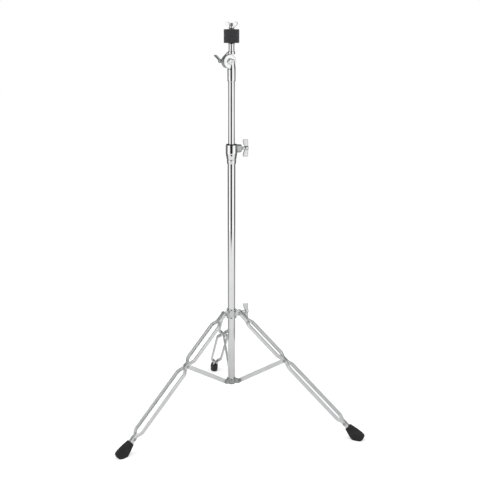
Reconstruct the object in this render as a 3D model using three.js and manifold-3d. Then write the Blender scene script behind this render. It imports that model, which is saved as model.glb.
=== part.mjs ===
// Straight cymbal stand with a double-braced tripod, a height clamp and a ratchet tilter.
// Millimetres, +Z up. The origin is on the floor, below the axis of the column.
// The legs point to 90 degrees (back), 210 degrees (left) and 330 degrees (right).

import * as THREE from "three";
import { mergeVertices } from "three/addons/utils/BufferGeometryUtils.js";
import Module from "manifold-3d";

const wasm = await Module();
wasm.setup();

// Clearances
const seatGap = 0.3; // between pieces that rest on each other
const holeGap = 0.3; // round a rivet or a bolt in its hole
const slideGap = 0.35; // round a tube that slides or turns
const overrun = 2; // by which a cut runs past a face

// Column
const baseTubeRadius = 11.1;
const baseTubeWall = 1.2;
const baseTubeLength = 686;
const upperTubeRadius = 9.5;
const upperTubeWall = 1.2;
const upperTubeInside = 354; // of the upper tube, below the base tube's upper end
const upperTubeShown = 175; // of the upper tube, from the clamp to the tilter
const tilterBaseDepth = 30; // how far the upper tube reaches into the tilter

// Tripod
const legAzimuths = { left: 210, right: 330, back: 90 };
const legSlope = 42.5; // degrees below level
const hingeRadius = 27;
const hingeHeight = 339.5; // above the floor
const hingeToMiddle = 189;
const spiderHingeRadius = 22;
const spiderHingeRise = 7.5; // above the spider's lower end
const boltAzimuth = 15;

// Leg strips: channels of pressed steel
const stripWidth = 10.5;
const stripDepth = 4.5;
const stripWall = 1.2;
const stripEnd = 6; // strip beyond the hinge rivet
const stripSpread = 14; // from the leg's middle plane to the strip's open edge
const bendLength = 20;
const pinchLength = 7; // straight stretch on each side of the middle rivet
const topPinch = 28; // straight stretch below the hinge rivet
const footPinch = 50; // straight stretch above the strip's lower end

// Brace
const braceWidth = 12.5;
const braceThickness = 5;
const braceWall = 1.4;
const braceGap = 0.5; // beside the brace, between the strips

// Rivets
const rivetRadius = 2.5;
const rivetHeadRadius = 4.5;
const rivetHeadRise = 1.9;

// Boots
const bootLength = 55;
const bootSink = 1.673; // of the boot's end below the floor, before the sole is cut
const bootHeight = 39; // across the leg, at its widest
const bootWidth = 22.4; // beside the leg, at its widest
const bootRounding = 0.67; // of its section: 1 is an ellipse, less is squarer
const bootPocketDepth = 30;
const footRivetAbove = 12; // the foot rivet above the boot's mouth
// From the mouth to the sole: shares of the boot's length, height and width
const bootShares = [
  [0, 0.5, 0.78],
  [0.03, 0.54, 0.84],
  [0.3, 0.75, 0.93],
  [0.58, 0.93, 0.98],
  [0.82, 1, 1],
  [0.94, 0.87, 0.92],
  [1, 0.5, 0.6],
];

// Spider
const spiderWall = 3.2;
const spiderBottom = 118; // above the floor
const spiderHeight = 13;
const earThickness = 2.2;
const earRadius = 6.6;
const plugFlange = 3;
const plugDepth = 14;

// Leg collar
const collarWall = 3.6;
const collarHeight = 27;
const collarHingeRise = 17.5; // above the collar's lower end
const collarBand = 2.2; // raised band at each end
const lugHeight = 20;
const lugRadius = 6.2;

// Bolt bosses
const bossRadius = 8;
const bossReach = 29;
const clampBossHeight = 23;
const clampBossWidth = 15;
const clampBossReach = 30;

// Height clamp
const clampHeight = 54;
const clampAboveTube = 28; // above the base tube's upper end
const clampHeadHeight = 24;
const clampBandHeight = 12;
const clampHeadRadius = 16.4;
const clampBandRadius = 13.4;
const clampFootRadius = 12.6; // at the lower end of the tapered band
const clampSlotWidth = 5.8;
const clampSlotDepth = 23;
const clampSlotAzimuth = 261;
const dimpleRadius = 1.4; // mark of the punch below the slot
const dimpleBelowSlot = 5.6;
const dimpleDepth = 3; // inside the head's radius
const bushingWall = 3.2;
const bushingFlangeHeight = 1.6;
const bushingFlangeRadius = 15.2;
const bushingSlit = 1.5;

// Wing bolts
const boltRadius = 3;
const wingSpan = 50;
const wingRootDepth = 9.5; // along the bolt, at the hub
const wingTipDepth = 16.5; // along the bolt, near the wing's tip
const wingThickness = 4;
const wingTipRadius = 3;
const wingNeckRadius = 4.4;
const wingHubRadius = 5.6;
const clampNeckLength = 4.5; // from the boss to the wings' tips, along the bolt
const collarNeckLength = 8;

// Tilter
const pivotAbove = 53.6; // pivot above the bottom of the tilter's sleeve
const pivotOffset = 9; // pivot beside the column's axis, so that the post can fold past the tube
const tilterAzimuth = 110;
const tilterWall = 1.8;
const discRadius = 19;
const discThickness = 7;
const toothDepth = 1.3;
const toothCount = 24;
const toothRingWidth = 6;
const discHubRadius = 8;
const discHubRise = 1.2;
const pivotBoltRadius = 3.5;
const pivotHeadRadius = 7;
const pivotHeadRise = 3.4;
const springWire = 1.1;
const springTurns = 2.5;
const springCoilRadius = 6;
const tilterNutNeck = 26; // from the nut's seat to the wings' tips
const tilterNutTurn = 49; // degrees of the wings from upright
// The sleeve's narrowing above the lap: shares of its radius and of the disc's radius
const shoulderShares = [[0.9, -0.5], [0.8, 0.35]];
// The cheek from the sleeve to the near disc, seen along the pivot. Shares of the sleeve's radius are root
// and back, and shares of the disc's radius are disc, fall and rise.
const cheekReach = { root: 0.5, disc: 0.94, fall: 0.34, back: 0.82, rise: 0.3 };
// The web from the far disc to the socket
const webReach = { socket: 0.9, disc: 0.7 };

// Cymbal post
const socketRadius = 9.8;
const socketHeight = 8;
const postRadius = 8;
const postWall = 1.6;
const postLength = 25.4;
const washerRadius = 9.4;
const washerThickness = 2;
const rodRadius = 3.9;
const rodAboveSeat = 16.3; // above the seat of the top nut
const rodInPost = 18;
const sleeveRadius = 6;
const sleeveWall = 1.6;
const sleeveFlangeRadius = 8.6;
const sleeveFlangeHeight = 1.5;
const feltRadius = 21.3;
const feltThickness = 18.05;
const feltRound = 1.6;
const topNutHubRadius = 6.4;
const topNutHeight = 9;
const topNutSpan = 35;
const topNutRise = 20;
const topNutTurn = 150;
// Outline of a wing of the top nut: shares of half its span and of its rise
const topNutShares = {
  elbow: [0.72, 0.4],
  belly: [1, 0.55],
  side: [1, 0.8],
  crown: [0.84, 1],
  inside: [0.4, 0.93],
};

// Facets round a full turn
const fineFacets = 24;
const facets = 18;
const smallFacets = 8;
const arcSteps = 4; // steps of a quarter circle in a plate's outline
const bendSteps = 3;
const roundSteps = 2; // steps of a quarter round in a profile
const coilSteps = 10; // steps of one turn of the spring
const wireFacets = 5;

const degree = Math.PI / 180;
const fullTurn = 2 * Math.PI;

// Sizes worked out from the ones above
const baseTubeBore = baseTubeRadius - baseTubeWall;
const baseTubeTop = spiderBottom + baseTubeLength;
const clampTop = baseTubeTop + clampAboveTube;
const clampBottom = clampTop - clampHeight;
const tilterBaseBottom = clampTop + upperTubeShown;
const upperTubeBottom = baseTubeTop - upperTubeInside;
const upperTubeTop = tilterBaseBottom + tilterBaseDepth;
const pivotHeight = tilterBaseBottom + pivotAbove;
const spiderHingeHeight = spiderBottom + spiderHingeRise;
const collarBottom = hingeHeight - collarHingeRise;
const pinchHalf = braceThickness / 2 + braceGap;
const lugHalf = pinchHalf - seatGap;
const legFall = Math.sin(legSlope * degree);
const legRun = Math.cos(legSlope * degree);
const middleRadius = hingeRadius + hingeToMiddle * legRun;
const middleHeight = hingeHeight - hingeToMiddle * legFall;
const braceLength = Math.hypot(middleRadius - spiderHingeRadius, middleHeight - spiderHingeHeight);
const braceSlope = Math.atan2(middleHeight - spiderHingeHeight, middleRadius - spiderHingeRadius) / degree;
const bootTop = (hingeHeight + bootSink) / legFall - bootLength; // along the leg, from the hinge
const stripBottom = bootTop + bootPocketDepth - seatGap;
const footRivet = bootTop - footRivetAbove;
const collarBore = baseTubeRadius + slideGap;
const collarRadius = collarBore + collarWall;
const spiderBore = baseTubeRadius + seatGap;
const spiderRadius = spiderBore + spiderWall;
const discGap = seatGap / 2 + toothDepth; // from the joint plane to the root of the teeth
const discBack = discGap + discThickness;
const nutSeat = discBack + discHubRise + seatGap; // along the pivot
const nutHubStart = nutSeat + tilterNutNeck + wingTipDepth - wingRootDepth;
const postBottom = pivotHeight + discRadius + seatGap + socketHeight / 2;
const postTop = pivotHeight + discRadius + seatGap + postLength + seatGap;
const washerTop = postTop + seatGap + washerThickness;
const lowerFeltBottom = washerTop + seatGap + sleeveFlangeHeight + seatGap;
const upperFeltBottom = lowerFeltBottom + feltThickness + seatGap;
const upperFeltTop = upperFeltBottom + feltThickness;
const topNutSeat = upperFeltTop + seatGap;
const rodTop = topNutSeat + rodAboveSeat;

// Materials
function metal(color, roughness) {
  return new THREE.MeshStandardMaterial({ color, roughness, metalness: 1 });
}

function plastic(color, roughness) {
  return new THREE.MeshStandardMaterial({ color, roughness, metalness: 0 });
}

const chrome = metal(0xd8dadd, 0.12);
const steel = metal(0xb9bcc0, 0.3);
const blackRubber = plastic(0x2a2a2b, 0.85);
const blackNylon = plastic(0x161617, 0.5);
const blackFelt = plastic(0x38383a, 1);

// Solids
function toSolid(geometry) {
  const bare = geometry.index ? geometry.toNonIndexed() : geometry.clone();
  bare.deleteAttribute("normal");
  bare.deleteAttribute("uv");
  const merged = mergeVertices(bare, 1e-4);
  return new wasm.Manifold(
    new wasm.Mesh({
      numProp: 3,
      vertProperties: merged.attributes.position.array,
      triVerts: new Uint32Array(merged.index.array),
    }),
  );
}

function toGeometry(solid) {
  const mesh = solid.getMesh();
  const geometry = new THREE.BufferGeometry();
  geometry.setAttribute("position", new THREE.Float32BufferAttribute(mesh.vertProperties, 3));
  geometry.setIndex(new THREE.Uint32BufferAttribute(mesh.triVerts, 1));
  return geometry;
}

// A solid of revolution about +Z from [radius, height] points.
function revolve(profile, steps = facets) {
  const points = profile.map(([radius, height]) => new THREE.Vector2(radius, height));
  return new THREE.LatheGeometry(points, steps).rotateX(Math.PI / 2);
}

// The same about +X, which suits bolts and rivets.
function revolveX(profile, steps = facets) {
  return revolve(profile, steps).rotateY(Math.PI / 2);
}

// The same about +Y.
function revolveY(profile, steps = facets) {
  return revolve(profile, steps).rotateX(-Math.PI / 2);
}

// A closed ring profile: outer wall, top, inner wall, bottom.
function ringProfile(inner, outer, bottom, top) {
  return [[inner, bottom], [outer, bottom], [outer, top], [inner, top], [inner, bottom]];
}

function diskProfile(radius, bottom, top) {
  return [[0, bottom], [radius, bottom], [radius, top], [0, top]];
}

// A solid cylinder about +Z, to cut a bore with
function boreZ(radius, bottom, top, steps = facets) {
  return toSolid(revolve(diskProfile(radius, bottom, top), steps));
}

// A quarter round from one [radius, height] point to another, with the corner outside it.
function quarterRound(start, corner, end) {
  const points = [];
  for (let step = 0; step <= roundSteps; step += 1) {
    const angle = (step / roundSteps) * (Math.PI / 2);
    const toStart = 1 - Math.sin(angle);
    const toEnd = 1 - Math.cos(angle);
    points.push([
      corner[0] + (start[0] - corner[0]) * toStart + (end[0] - corner[0]) * toEnd,
      corner[1] + (start[1] - corner[1]) * toStart + (end[1] - corner[1]) * toEnd,
    ]);
  }
  return points;
}

// A plate whose outline lies in the XZ plane, from y = -half to y = +half.
function plateXZ(shape, half, curveSegments = arcSteps) {
  const geometry = new THREE.ExtrudeGeometry(shape, {
    depth: 2 * half,
    bevelEnabled: false,
    curveSegments,
  });
  return geometry.rotateX(Math.PI / 2).translate(0, half, 0);
}

// A plate whose outline lies in the YZ plane, from x = low to x = high.
function plateYZ(shape, low, high, curveSegments = arcSteps) {
  const geometry = new THREE.ExtrudeGeometry(shape, {
    depth: high - low,
    bevelEnabled: false,
    curveSegments,
  });
  return geometry.translate(0, 0, low).rotateX(Math.PI / 2).rotateZ(Math.PI / 2);
}

// A bar outline with one round end at each centre.
function capsuleShape(start, end, radius) {
  const shape = new THREE.Shape();
  const angle = Math.atan2(end.y - start.y, end.x - start.x);
  shape.absarc(start.x, start.y, radius, angle + Math.PI / 2, angle + 1.5 * Math.PI, false);
  shape.absarc(end.x, end.y, radius, angle - Math.PI / 2, angle + Math.PI / 2, false);
  return shape;
}

// A closed sweep of a section through stations, each with its origin and its two section directions.
function sweep(section, stations) {
  const positions = [];
  const index = [];
  const count = section.length;
  for (const station of stations) {
    for (const point of section) {
      const place = station.origin.clone();
      place.addScaledVector(station.across, point.x);
      place.addScaledVector(station.up, point.y);
      positions.push(place.x, place.y, place.z);
    }
  }
  for (let ring = 0; ring < stations.length - 1; ring += 1) {
    for (let side = 0; side < count; side += 1) {
      const next = (side + 1) % count;
      const a = ring * count + side;
      const b = ring * count + next;
      const c = (ring + 1) * count + next;
      const d = (ring + 1) * count + side;
      index.push(a, b, c, a, c, d);
    }
  }
  const last = (stations.length - 1) * count;
  for (const [a, b, c] of THREE.ShapeUtils.triangulateShape(section, [])) {
    index.push(c, b, a, last + a, last + b, last + c);
  }
  const geometry = new THREE.BufferGeometry();
  geometry.setAttribute("position", new THREE.Float32BufferAttribute(positions, 3));
  geometry.setIndex(index);
  return geometry;
}

function rotatedZ(geometry, angle) {
  return geometry.rotateZ(angle * degree);
}

function addMesh(parent, name, solid, material) {
  const geometry = solid.isBufferGeometry ? solid : toGeometry(solid);
  const mesh = new THREE.Mesh(geometry, material);
  mesh.name = name;
  parent.add(mesh);
  return mesh;
}

// Base tube and its plug
function makeBaseTube() {
  return toSolid(revolve(ringProfile(baseTubeBore, baseTubeRadius, spiderBottom, baseTubeTop), fineFacets));
}

function makeEndPlug() {
  const stem = baseTubeBore - seatGap;
  const flangeTop = spiderBottom - seatGap;
  const profile = [
    [0, flangeTop - plugFlange],
    [baseTubeRadius - baseTubeWall / 2, flangeTop - plugFlange],
    [baseTubeRadius, flangeTop - plugFlange / 2],
    [baseTubeRadius, flangeTop],
    [stem, flangeTop],
    [stem, spiderBottom + plugDepth - baseTubeWall],
    [stem - baseTubeWall, spiderBottom + plugDepth],
    [0, spiderBottom + plugDepth],
  ];
  return toSolid(revolve(profile));
}

// Spider: a ring with three forked ears, each a pair of plates
function makeSpider() {
  const top = spiderBottom + spiderHeight;
  const edge = spiderWall / 3;
  const ring = [
    [spiderBore, spiderBottom],
    [spiderRadius - edge, spiderBottom],
    [spiderRadius, spiderBottom + edge],
    [spiderRadius, top - edge],
    [spiderRadius - edge, top],
    [spiderBore, top],
    [spiderBore, spiderBottom],
  ];
  let spider = toSolid(revolve(ring, fineFacets));
  const hinge = new THREE.Vector2(spiderHingeRadius, spiderHingeHeight);
  const ear = new THREE.Shape();
  const root = (spiderBore + spiderRadius) / 2;
  ear.moveTo(root, spiderBottom);
  ear.lineTo(hinge.x, hinge.y - earRadius);
  ear.absarc(hinge.x, hinge.y, earRadius, -Math.PI / 2, Math.PI / 2, false);
  ear.lineTo(root, top);
  ear.closePath();
  const inner = braceThickness / 2 + seatGap;
  for (const azimuth of Object.values(legAzimuths)) {
    for (const side of [-1, 1]) {
      const plate = plateXZ(ear, earThickness / 2).translate(0, side * (inner + earThickness / 2), 0);
      spider = spider.add(toSolid(rotatedZ(plate, azimuth)));
    }
    const hole = revolveY(diskProfile(rivetRadius + holeGap, -spiderRadius, spiderRadius), smallFacets);
    hole.translate(hinge.x, 0, hinge.y);
    spider = spider.subtract(toSolid(rotatedZ(hole, azimuth)));
  }
  return spider.subtract(boreZ(spiderBore, spiderBottom - overrun, top + overrun, fineFacets));
}

// A rivet along Y with a domed head at each end; half is from the middle to the head's seat.
function rivetProfile(shank, half) {
  const seat = half + seatGap;
  const headTop = seat + rivetHeadRise;
  const shoulder = [rivetHeadRadius, seat + rivetHeadRise / 4];
  const dome = quarterRound(shoulder, [rivetHeadRadius, headTop], [0, headTop]);
  const lower = dome.map(([radius, height]) => [radius, -height]).reverse();
  const stem = [[rivetHeadRadius, -seat], [shank, -seat], [shank, seat], [rivetHeadRadius, seat]];
  return [...lower, ...stem, ...dome];
}

function makeRivet(half) {
  return toSolid(revolveY(rivetProfile(rivetRadius, half), smallFacets));
}

// Half of the middle rivet: the head and the shank in one strip. The brace passes between the halves.
function makeHalfRivet() {
  const web = pinchHalf + stripDepth;
  const seat = web + seatGap;
  const headTop = seat + rivetHeadRise;
  const shoulder = [rivetHeadRadius, seat + rivetHeadRise / 4];
  const dome = quarterRound(shoulder, [rivetHeadRadius, headTop], [0, headTop]);
  const stem = [[0, pinchHalf], [rivetRadius, pinchHalf], [rivetRadius, seat], [rivetHeadRadius, seat]];
  return toSolid(revolveY([...stem, ...dome], smallFacets));
}

// The foot rivet has a thick middle that keeps the strips apart.
function makeFootRivet() {
  const web = pinchHalf + stripDepth;
  const outer = rivetProfile(rivetRadius, web);
  const spacer = pinchHalf - seatGap;
  const waist = outer.findIndex(([radius, height]) => radius === rivetRadius && height > 0);
  const shoulder = [
    [rivetRadius, -spacer],
    [rivetHeadRadius, -spacer],
    [rivetHeadRadius, spacer],
    [rivetRadius, spacer],
  ];
  outer.splice(waist, 0, ...shoulder);
  return toSolid(revolveY(outer, smallFacets));
}

// Section of a channel: x is across the width and y is from the open edge to the web.
function channelSection(width, depth, wall) {
  const half = width / 2;
  const inside = half - wall;
  const floor = depth - wall;
  return [
    new THREE.Vector2(-half, 0),
    new THREE.Vector2(-inside, 0),
    new THREE.Vector2(-inside, floor),
    new THREE.Vector2(inside, floor),
    new THREE.Vector2(inside, 0),
    new THREE.Vector2(half, 0),
    new THREE.Vector2(half, floor),
    new THREE.Vector2(inside, depth),
    new THREE.Vector2(-inside, depth),
    new THREE.Vector2(-half, floor),
  ];
}

// The strip's open edge beside the leg's middle plane: pairs of distance along the leg and offset.
function stripPath() {
  const levels = [
    [-stripEnd, pinchHalf],
    [topPinch, pinchHalf],
    [topPinch + bendLength, stripSpread],
    [hingeToMiddle - pinchLength - bendLength, stripSpread],
    [hingeToMiddle - pinchLength, pinchHalf],
    [hingeToMiddle + pinchLength, pinchHalf],
    [hingeToMiddle + pinchLength + bendLength, stripSpread],
    [stripBottom - footPinch - bendLength, stripSpread],
    [stripBottom - footPinch, pinchHalf],
    [stripBottom, pinchHalf],
  ];
  const path = [levels[0]];
  for (let item = 1; item < levels.length; item += 1) {
    const [fromAlong, fromOffset] = levels[item - 1];
    const [toAlong, toOffset] = levels[item];
    const steps = fromOffset === toOffset ? 1 : bendSteps;
    for (let step = 1; step <= steps; step += 1) {
      const share = step / steps;
      const eased = (1 - Math.cos(Math.PI * share)) / 2;
      path.push([fromAlong + (toAlong - fromAlong) * share, fromOffset + (toOffset - fromOffset) * eased]);
    }
  }
  return path;
}

// One strip in the leg's frame: x down the leg from the hinge, y beside its middle plane, z across it.
function makeStrip(side) {
  const path = stripPath().map(([along, offset]) => new THREE.Vector2(along, offset));
  const stations = path.map((point, item) => {
    const before = path[Math.max(item - 1, 0)];
    const after = path[Math.min(item + 1, path.length - 1)];
    const along = after.clone().sub(before).normalize();
    return {
      origin: new THREE.Vector3(point.x, side * point.y, 0),
      across: new THREE.Vector3(0, 0, -side),
      up: new THREE.Vector3(-along.y, side * along.x, 0),
    };
  });
  const section = channelSection(stripWidth, stripDepth, stripWall);
  const bar = toSolid(sweep(section, stations));
  const outline = new THREE.Shape();
  const round = stripWidth / 2;
  outline.absarc(round - stripEnd, 0, round, Math.PI / 2, 1.5 * Math.PI, false);
  outline.lineTo(stripBottom, -round);
  outline.lineTo(stripBottom, round);
  outline.closePath();
  const bounds = plateXZ(outline, stripSpread + 2 * stripDepth);
  let strip = bar.intersect(toSolid(bounds));
  for (const along of [0, hingeToMiddle, footRivet]) {
    const hole = revolveY(diskProfile(rivetRadius + holeGap, 0, stripSpread), smallFacets);
    if (side < 0) hole.rotateZ(Math.PI);
    strip = strip.subtract(toSolid(hole.translate(along, 0, 0)));
  }
  return strip;
}

// Brace in its own frame: x from the spider's hinge to the leg's middle rivet.
function makeBrace() {
  const section = channelSection(braceWidth, braceThickness, braceWall);
  const start = -braceWidth / 2;
  const end = braceLength + braceWidth / 2;
  const stations = [start, end].map((along) => ({
    origin: new THREE.Vector3(along, -braceThickness / 2, 0),
    across: new THREE.Vector3(0, 0, -1),
    up: new THREE.Vector3(0, 1, 0),
  }));
  const outline = capsuleShape(new THREE.Vector2(0, 0), new THREE.Vector2(braceLength, 0), braceWidth / 2);
  let brace = toSolid(sweep(section, stations)).intersect(toSolid(plateXZ(outline, braceThickness)));
  for (const along of [0, braceLength]) {
    const hole = revolveY(diskProfile(rivetRadius + holeGap, -braceThickness, braceThickness), smallFacets);
    brace = brace.subtract(toSolid(hole.translate(along, 0, 0)));
  }
  return brace;
}

// Section of the boot, of half-size 1: a rounded rectangle
function bootSection() {
  const points = [];
  for (let step = 0; step < facets; step += 1) {
    const angle = (step / facets) * fullTurn;
    const squared = (value) => Math.sign(value) * Math.abs(value) ** bootRounding;
    points.push(new THREE.Vector2(squared(Math.cos(angle)), squared(Math.sin(angle))));
  }
  return points;
}

// Rubber boot in the leg's frame, cut flat by the floor
function makeBoot() {
  const stations = bootShares.map(([along, high, wide]) => ({
    origin: new THREE.Vector3(bootTop + bootLength * along, 0, 0),
    across: new THREE.Vector3(0, (wide * bootWidth) / 2, 0),
    up: new THREE.Vector3(0, 0, (high * bootHeight) / 2),
  }));
  const body = toSolid(sweep(bootSection(), stations));
  const pocketWidth = pinchHalf + stripDepth + seatGap;
  const pocketHeight = stripWidth / 2 + seatGap;
  const pocket = new THREE.BoxGeometry(bootPocketDepth + overrun, 2 * pocketWidth, 2 * pocketHeight);
  pocket.translate(bootTop + (bootPocketDepth - overrun) / 2, 0, 0);
  const reach = hingeHeight + bootLength;
  const floor = new THREE.BoxGeometry(2 * reach, 2 * reach, reach);
  floor.translate(0, 0, -reach / 2 - hingeHeight);
  floor.rotateY(-legSlope * degree);
  return body.subtract(toSolid(pocket)).subtract(toSolid(floor));
}

// Leg collar
function makeCollar() {
  const top = collarBottom + collarHeight;
  const edge = collarBand / 2;
  const waist = collarRadius - collarBand / 3;
  const profile = [
    [collarBore, collarBottom],
    [collarRadius - edge, collarBottom],
    [collarRadius, collarBottom + edge],
    [collarRadius, collarBottom + collarBand],
    [waist, collarBottom + collarBand + edge],
    [waist, top - collarBand - edge],
    [collarRadius, top - collarBand],
    [collarRadius, top - edge],
    [collarRadius - edge, top],
    [collarBore, top],
    [collarBore, collarBottom],
  ];
  let collar = toSolid(revolve(profile, fineFacets));
  const root = (collarBore + waist) / 2;
  const middle = collarBottom + collarHeight / 2;
  const lug = new THREE.Shape();
  lug.moveTo(root, middle - lugHeight / 2);
  lug.lineTo(hingeRadius, hingeHeight - lugRadius);
  lug.absarc(hingeRadius, hingeHeight, lugRadius, -Math.PI / 2, Math.PI / 2, false);
  lug.lineTo(root, middle + lugHeight / 2);
  lug.closePath();
  for (const azimuth of Object.values(legAzimuths)) {
    collar = collar.add(toSolid(rotatedZ(plateXZ(lug, lugHalf), azimuth)));
    const hole = revolveY(diskProfile(rivetRadius + holeGap, -collarRadius, collarRadius), smallFacets);
    hole.translate(hingeRadius, 0, hingeHeight);
    collar = collar.subtract(toSolid(rotatedZ(hole, azimuth)));
  }
  const bossEdge = bossRadius / 5;
  const boss = [
    [0, root],
    [bossRadius, root],
    [bossRadius, bossReach - bossEdge],
    [bossRadius - bossEdge, bossReach],
    [0, bossReach],
  ];
  collar = collar.add(toSolid(rotatedZ(revolveX(boss, facets).translate(0, 0, middle), boltAzimuth)));
  const boltHole = revolveX(diskProfile(boltRadius + holeGap, 0, bossReach + overrun), smallFacets);
  collar = collar.subtract(toSolid(rotatedZ(boltHole.translate(0, 0, middle), boltAzimuth)));
  return collar.subtract(boreZ(collarBore, collarBottom - overrun, top + overrun, fineFacets));
}

// Two wings in the XZ plane: straight along their outer edge at x = 0, and flared back towards their tips
function wingShape() {
  const half = wingSpan / 2;
  const round = wingTipRadius;
  const shape = new THREE.Shape();
  shape.moveTo(0, 0);
  shape.lineTo(0, half - round);
  shape.quadraticCurveTo(0, half, -round, half);
  shape.lineTo(round - wingTipDepth, half);
  shape.quadraticCurveTo(-wingTipDepth, half, -wingTipDepth, half - round);
  shape.quadraticCurveTo(-wingTipDepth, half / 2, -wingRootDepth, 0);
  shape.quadraticCurveTo(-wingTipDepth, -half / 2, -wingTipDepth, round - half);
  shape.quadraticCurveTo(-wingTipDepth, -half, round - wingTipDepth, -half);
  shape.lineTo(-round, -half);
  shape.quadraticCurveTo(0, -half, 0, round - half);
  shape.closePath();
  return shape;
}

// Head along +X: a neck on the boss at seat, a hub, and the wings, whose long direction is +Z
function makeWingHead(seat, neckLength) {
  const end = seat + neckLength + wingTipDepth;
  const hubStart = end - wingRootDepth;
  const hubEdge = wingHubRadius / 4;
  const hub = [
    [0, seat],
    [wingNeckRadius + hubEdge, seat],
    [wingNeckRadius + hubEdge, seat + hubEdge],
    [wingNeckRadius, seat + 2 * hubEdge],
    [wingNeckRadius, hubStart - hubEdge],
    [wingHubRadius, hubStart + hubEdge],
    [wingHubRadius, end - hubEdge],
    [wingHubRadius - hubEdge, end],
    [0, end],
  ];
  const wings = plateXZ(wingShape(), wingThickness / 2, bendSteps).translate(end, 0, 0);
  return toSolid(revolveX(hub, facets)).add(toSolid(wings));
}

// Wing bolt along +X: a shaft from start, and its head on the boss at seat
function makeWingBolt(start, seat, neckLength) {
  const point = boltRadius / 3;
  const shaft = [
    [0, start],
    [boltRadius - point, start],
    [boltRadius, start + point],
    [boltRadius, seat + point],
    [0, seat + point],
  ];
  return toSolid(revolveX(shaft, smallFacets)).add(makeWingHead(seat, neckLength));
}

// Height clamp: a cast sleeve with a wide head for the bushing and a boss for the bolt
const bushingBottom = baseTubeTop + seatGap;
const bushingBore = upperTubeRadius + slideGap;
const bushingRadius = bushingBore + bushingWall;
const clampHeadBottom = clampTop - clampHeadHeight;
const clampBoltHeight = clampTop - clampBossHeight / 2;

function makeClamp() {
  const lowBore = baseTubeRadius + seatGap;
  const highBore = bushingRadius + seatGap;
  const edge = (clampHeadRadius - clampBandRadius) / 2;
  const bandTop = clampBottom + clampBandHeight;
  const groove = edge / 2;
  const profile = [
    [lowBore, clampBottom],
    [clampFootRadius - groove, clampBottom],
    [clampFootRadius, clampBottom + groove],
    [clampBandRadius, bandTop - groove],
    [clampBandRadius - groove, bandTop],
    [clampBandRadius, bandTop + groove],
    [clampHeadRadius, clampHeadBottom],
    [clampHeadRadius, clampTop - edge],
    [clampHeadRadius - edge, clampTop],
    [lowBore, clampTop],
    [lowBore, clampBottom],
  ];
  let clamp = toSolid(revolve(profile, fineFacets));
  const root = (highBore + clampHeadRadius) / 2;
  const half = clampBossWidth / 2;
  const tall = clampBossHeight / 2;
  const boss = capsuleShape(new THREE.Vector2(0, half - tall), new THREE.Vector2(0, tall - half), half);
  const outline = boss.getPoints(arcSteps);
  const share = (half - edge) / half;
  const stations = [[root, 1], [clampBossReach - edge, 1], [clampBossReach, share]].map(([along, scale]) => ({
    origin: new THREE.Vector3(along, 0, clampBoltHeight),
    across: new THREE.Vector3(0, scale, 0),
    up: new THREE.Vector3(0, 0, scale),
  }));
  clamp = clamp.add(toSolid(rotatedZ(sweep(outline, stations), boltAzimuth)));
  clamp = clamp.subtract(boreZ(lowBore, clampBottom - overrun, clampTop, fineFacets));
  clamp = clamp.subtract(boreZ(highBore, baseTubeTop, clampTop + overrun, fineFacets));
  const boltHole = revolveX(diskProfile(boltRadius + holeGap, 0, clampBossReach + overrun), smallFacets);
  clamp = clamp.subtract(toSolid(rotatedZ(boltHole.translate(0, 0, clampBoltHeight), boltAzimuth)));
  const slot = new THREE.BoxGeometry(2 * clampHeadRadius, clampSlotWidth, clampSlotDepth + overrun);
  slot.translate(clampHeadRadius, 0, clampTop - (clampSlotDepth - overrun) / 2);
  clamp = clamp.subtract(toSolid(rotatedZ(slot, clampSlotAzimuth)));
  const dimpleFloor = clampHeadRadius - dimpleDepth;
  const dimple = revolveX(diskProfile(dimpleRadius, dimpleFloor, clampHeadRadius), smallFacets);
  dimple.translate(0, 0, clampTop - clampSlotDepth - dimpleBelowSlot);
  return clamp.subtract(toSolid(rotatedZ(dimple, clampSlotAzimuth)));
}

function makeBushing() {
  const profile = [
    [bushingBore, bushingBottom],
    [bushingRadius, bushingBottom],
    [bushingRadius, clampTop + seatGap],
    [bushingFlangeRadius, clampTop + seatGap],
    [bushingFlangeRadius, clampTop + seatGap + bushingFlangeHeight / 2],
    [bushingFlangeRadius - bushingFlangeHeight / 2, clampTop + seatGap + bushingFlangeHeight],
    [bushingBore, clampTop + seatGap + bushingFlangeHeight],
    [bushingBore, bushingBottom],
  ];
  let bushing = toSolid(revolve(profile, fineFacets));
  const keyOuter = (bushingRadius + clampHeadRadius) / 2;
  const keyInner = (bushingBore + bushingRadius) / 2;
  const keyBottom = clampTop - clampSlotDepth + seatGap;
  const key = new THREE.BoxGeometry(keyOuter - keyInner, clampSlotWidth - 2 * seatGap, clampTop - keyBottom);
  key.translate((keyOuter + keyInner) / 2, 0, (clampTop + keyBottom) / 2);
  bushing = bushing.add(toSolid(rotatedZ(key, clampSlotAzimuth)));
  const slitHeight = clampTop - bushingBottom + bushingFlangeHeight + 2 * overrun;
  const slit = new THREE.BoxGeometry(bushingFlangeRadius + overrun, bushingSlit, slitHeight);
  slit.translate((bushingFlangeRadius + overrun) / 2, 0, bushingBottom - overrun + slitHeight / 2);
  return bushing.subtract(toSolid(rotatedZ(slit, boltAzimuth + 180)));
}

// Upper tube and its guide
function makeUpperTube() {
  const bore = upperTubeRadius - upperTubeWall;
  return toSolid(revolve(ringProfile(bore, upperTubeRadius, upperTubeBottom, upperTubeTop), fineFacets));
}

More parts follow.
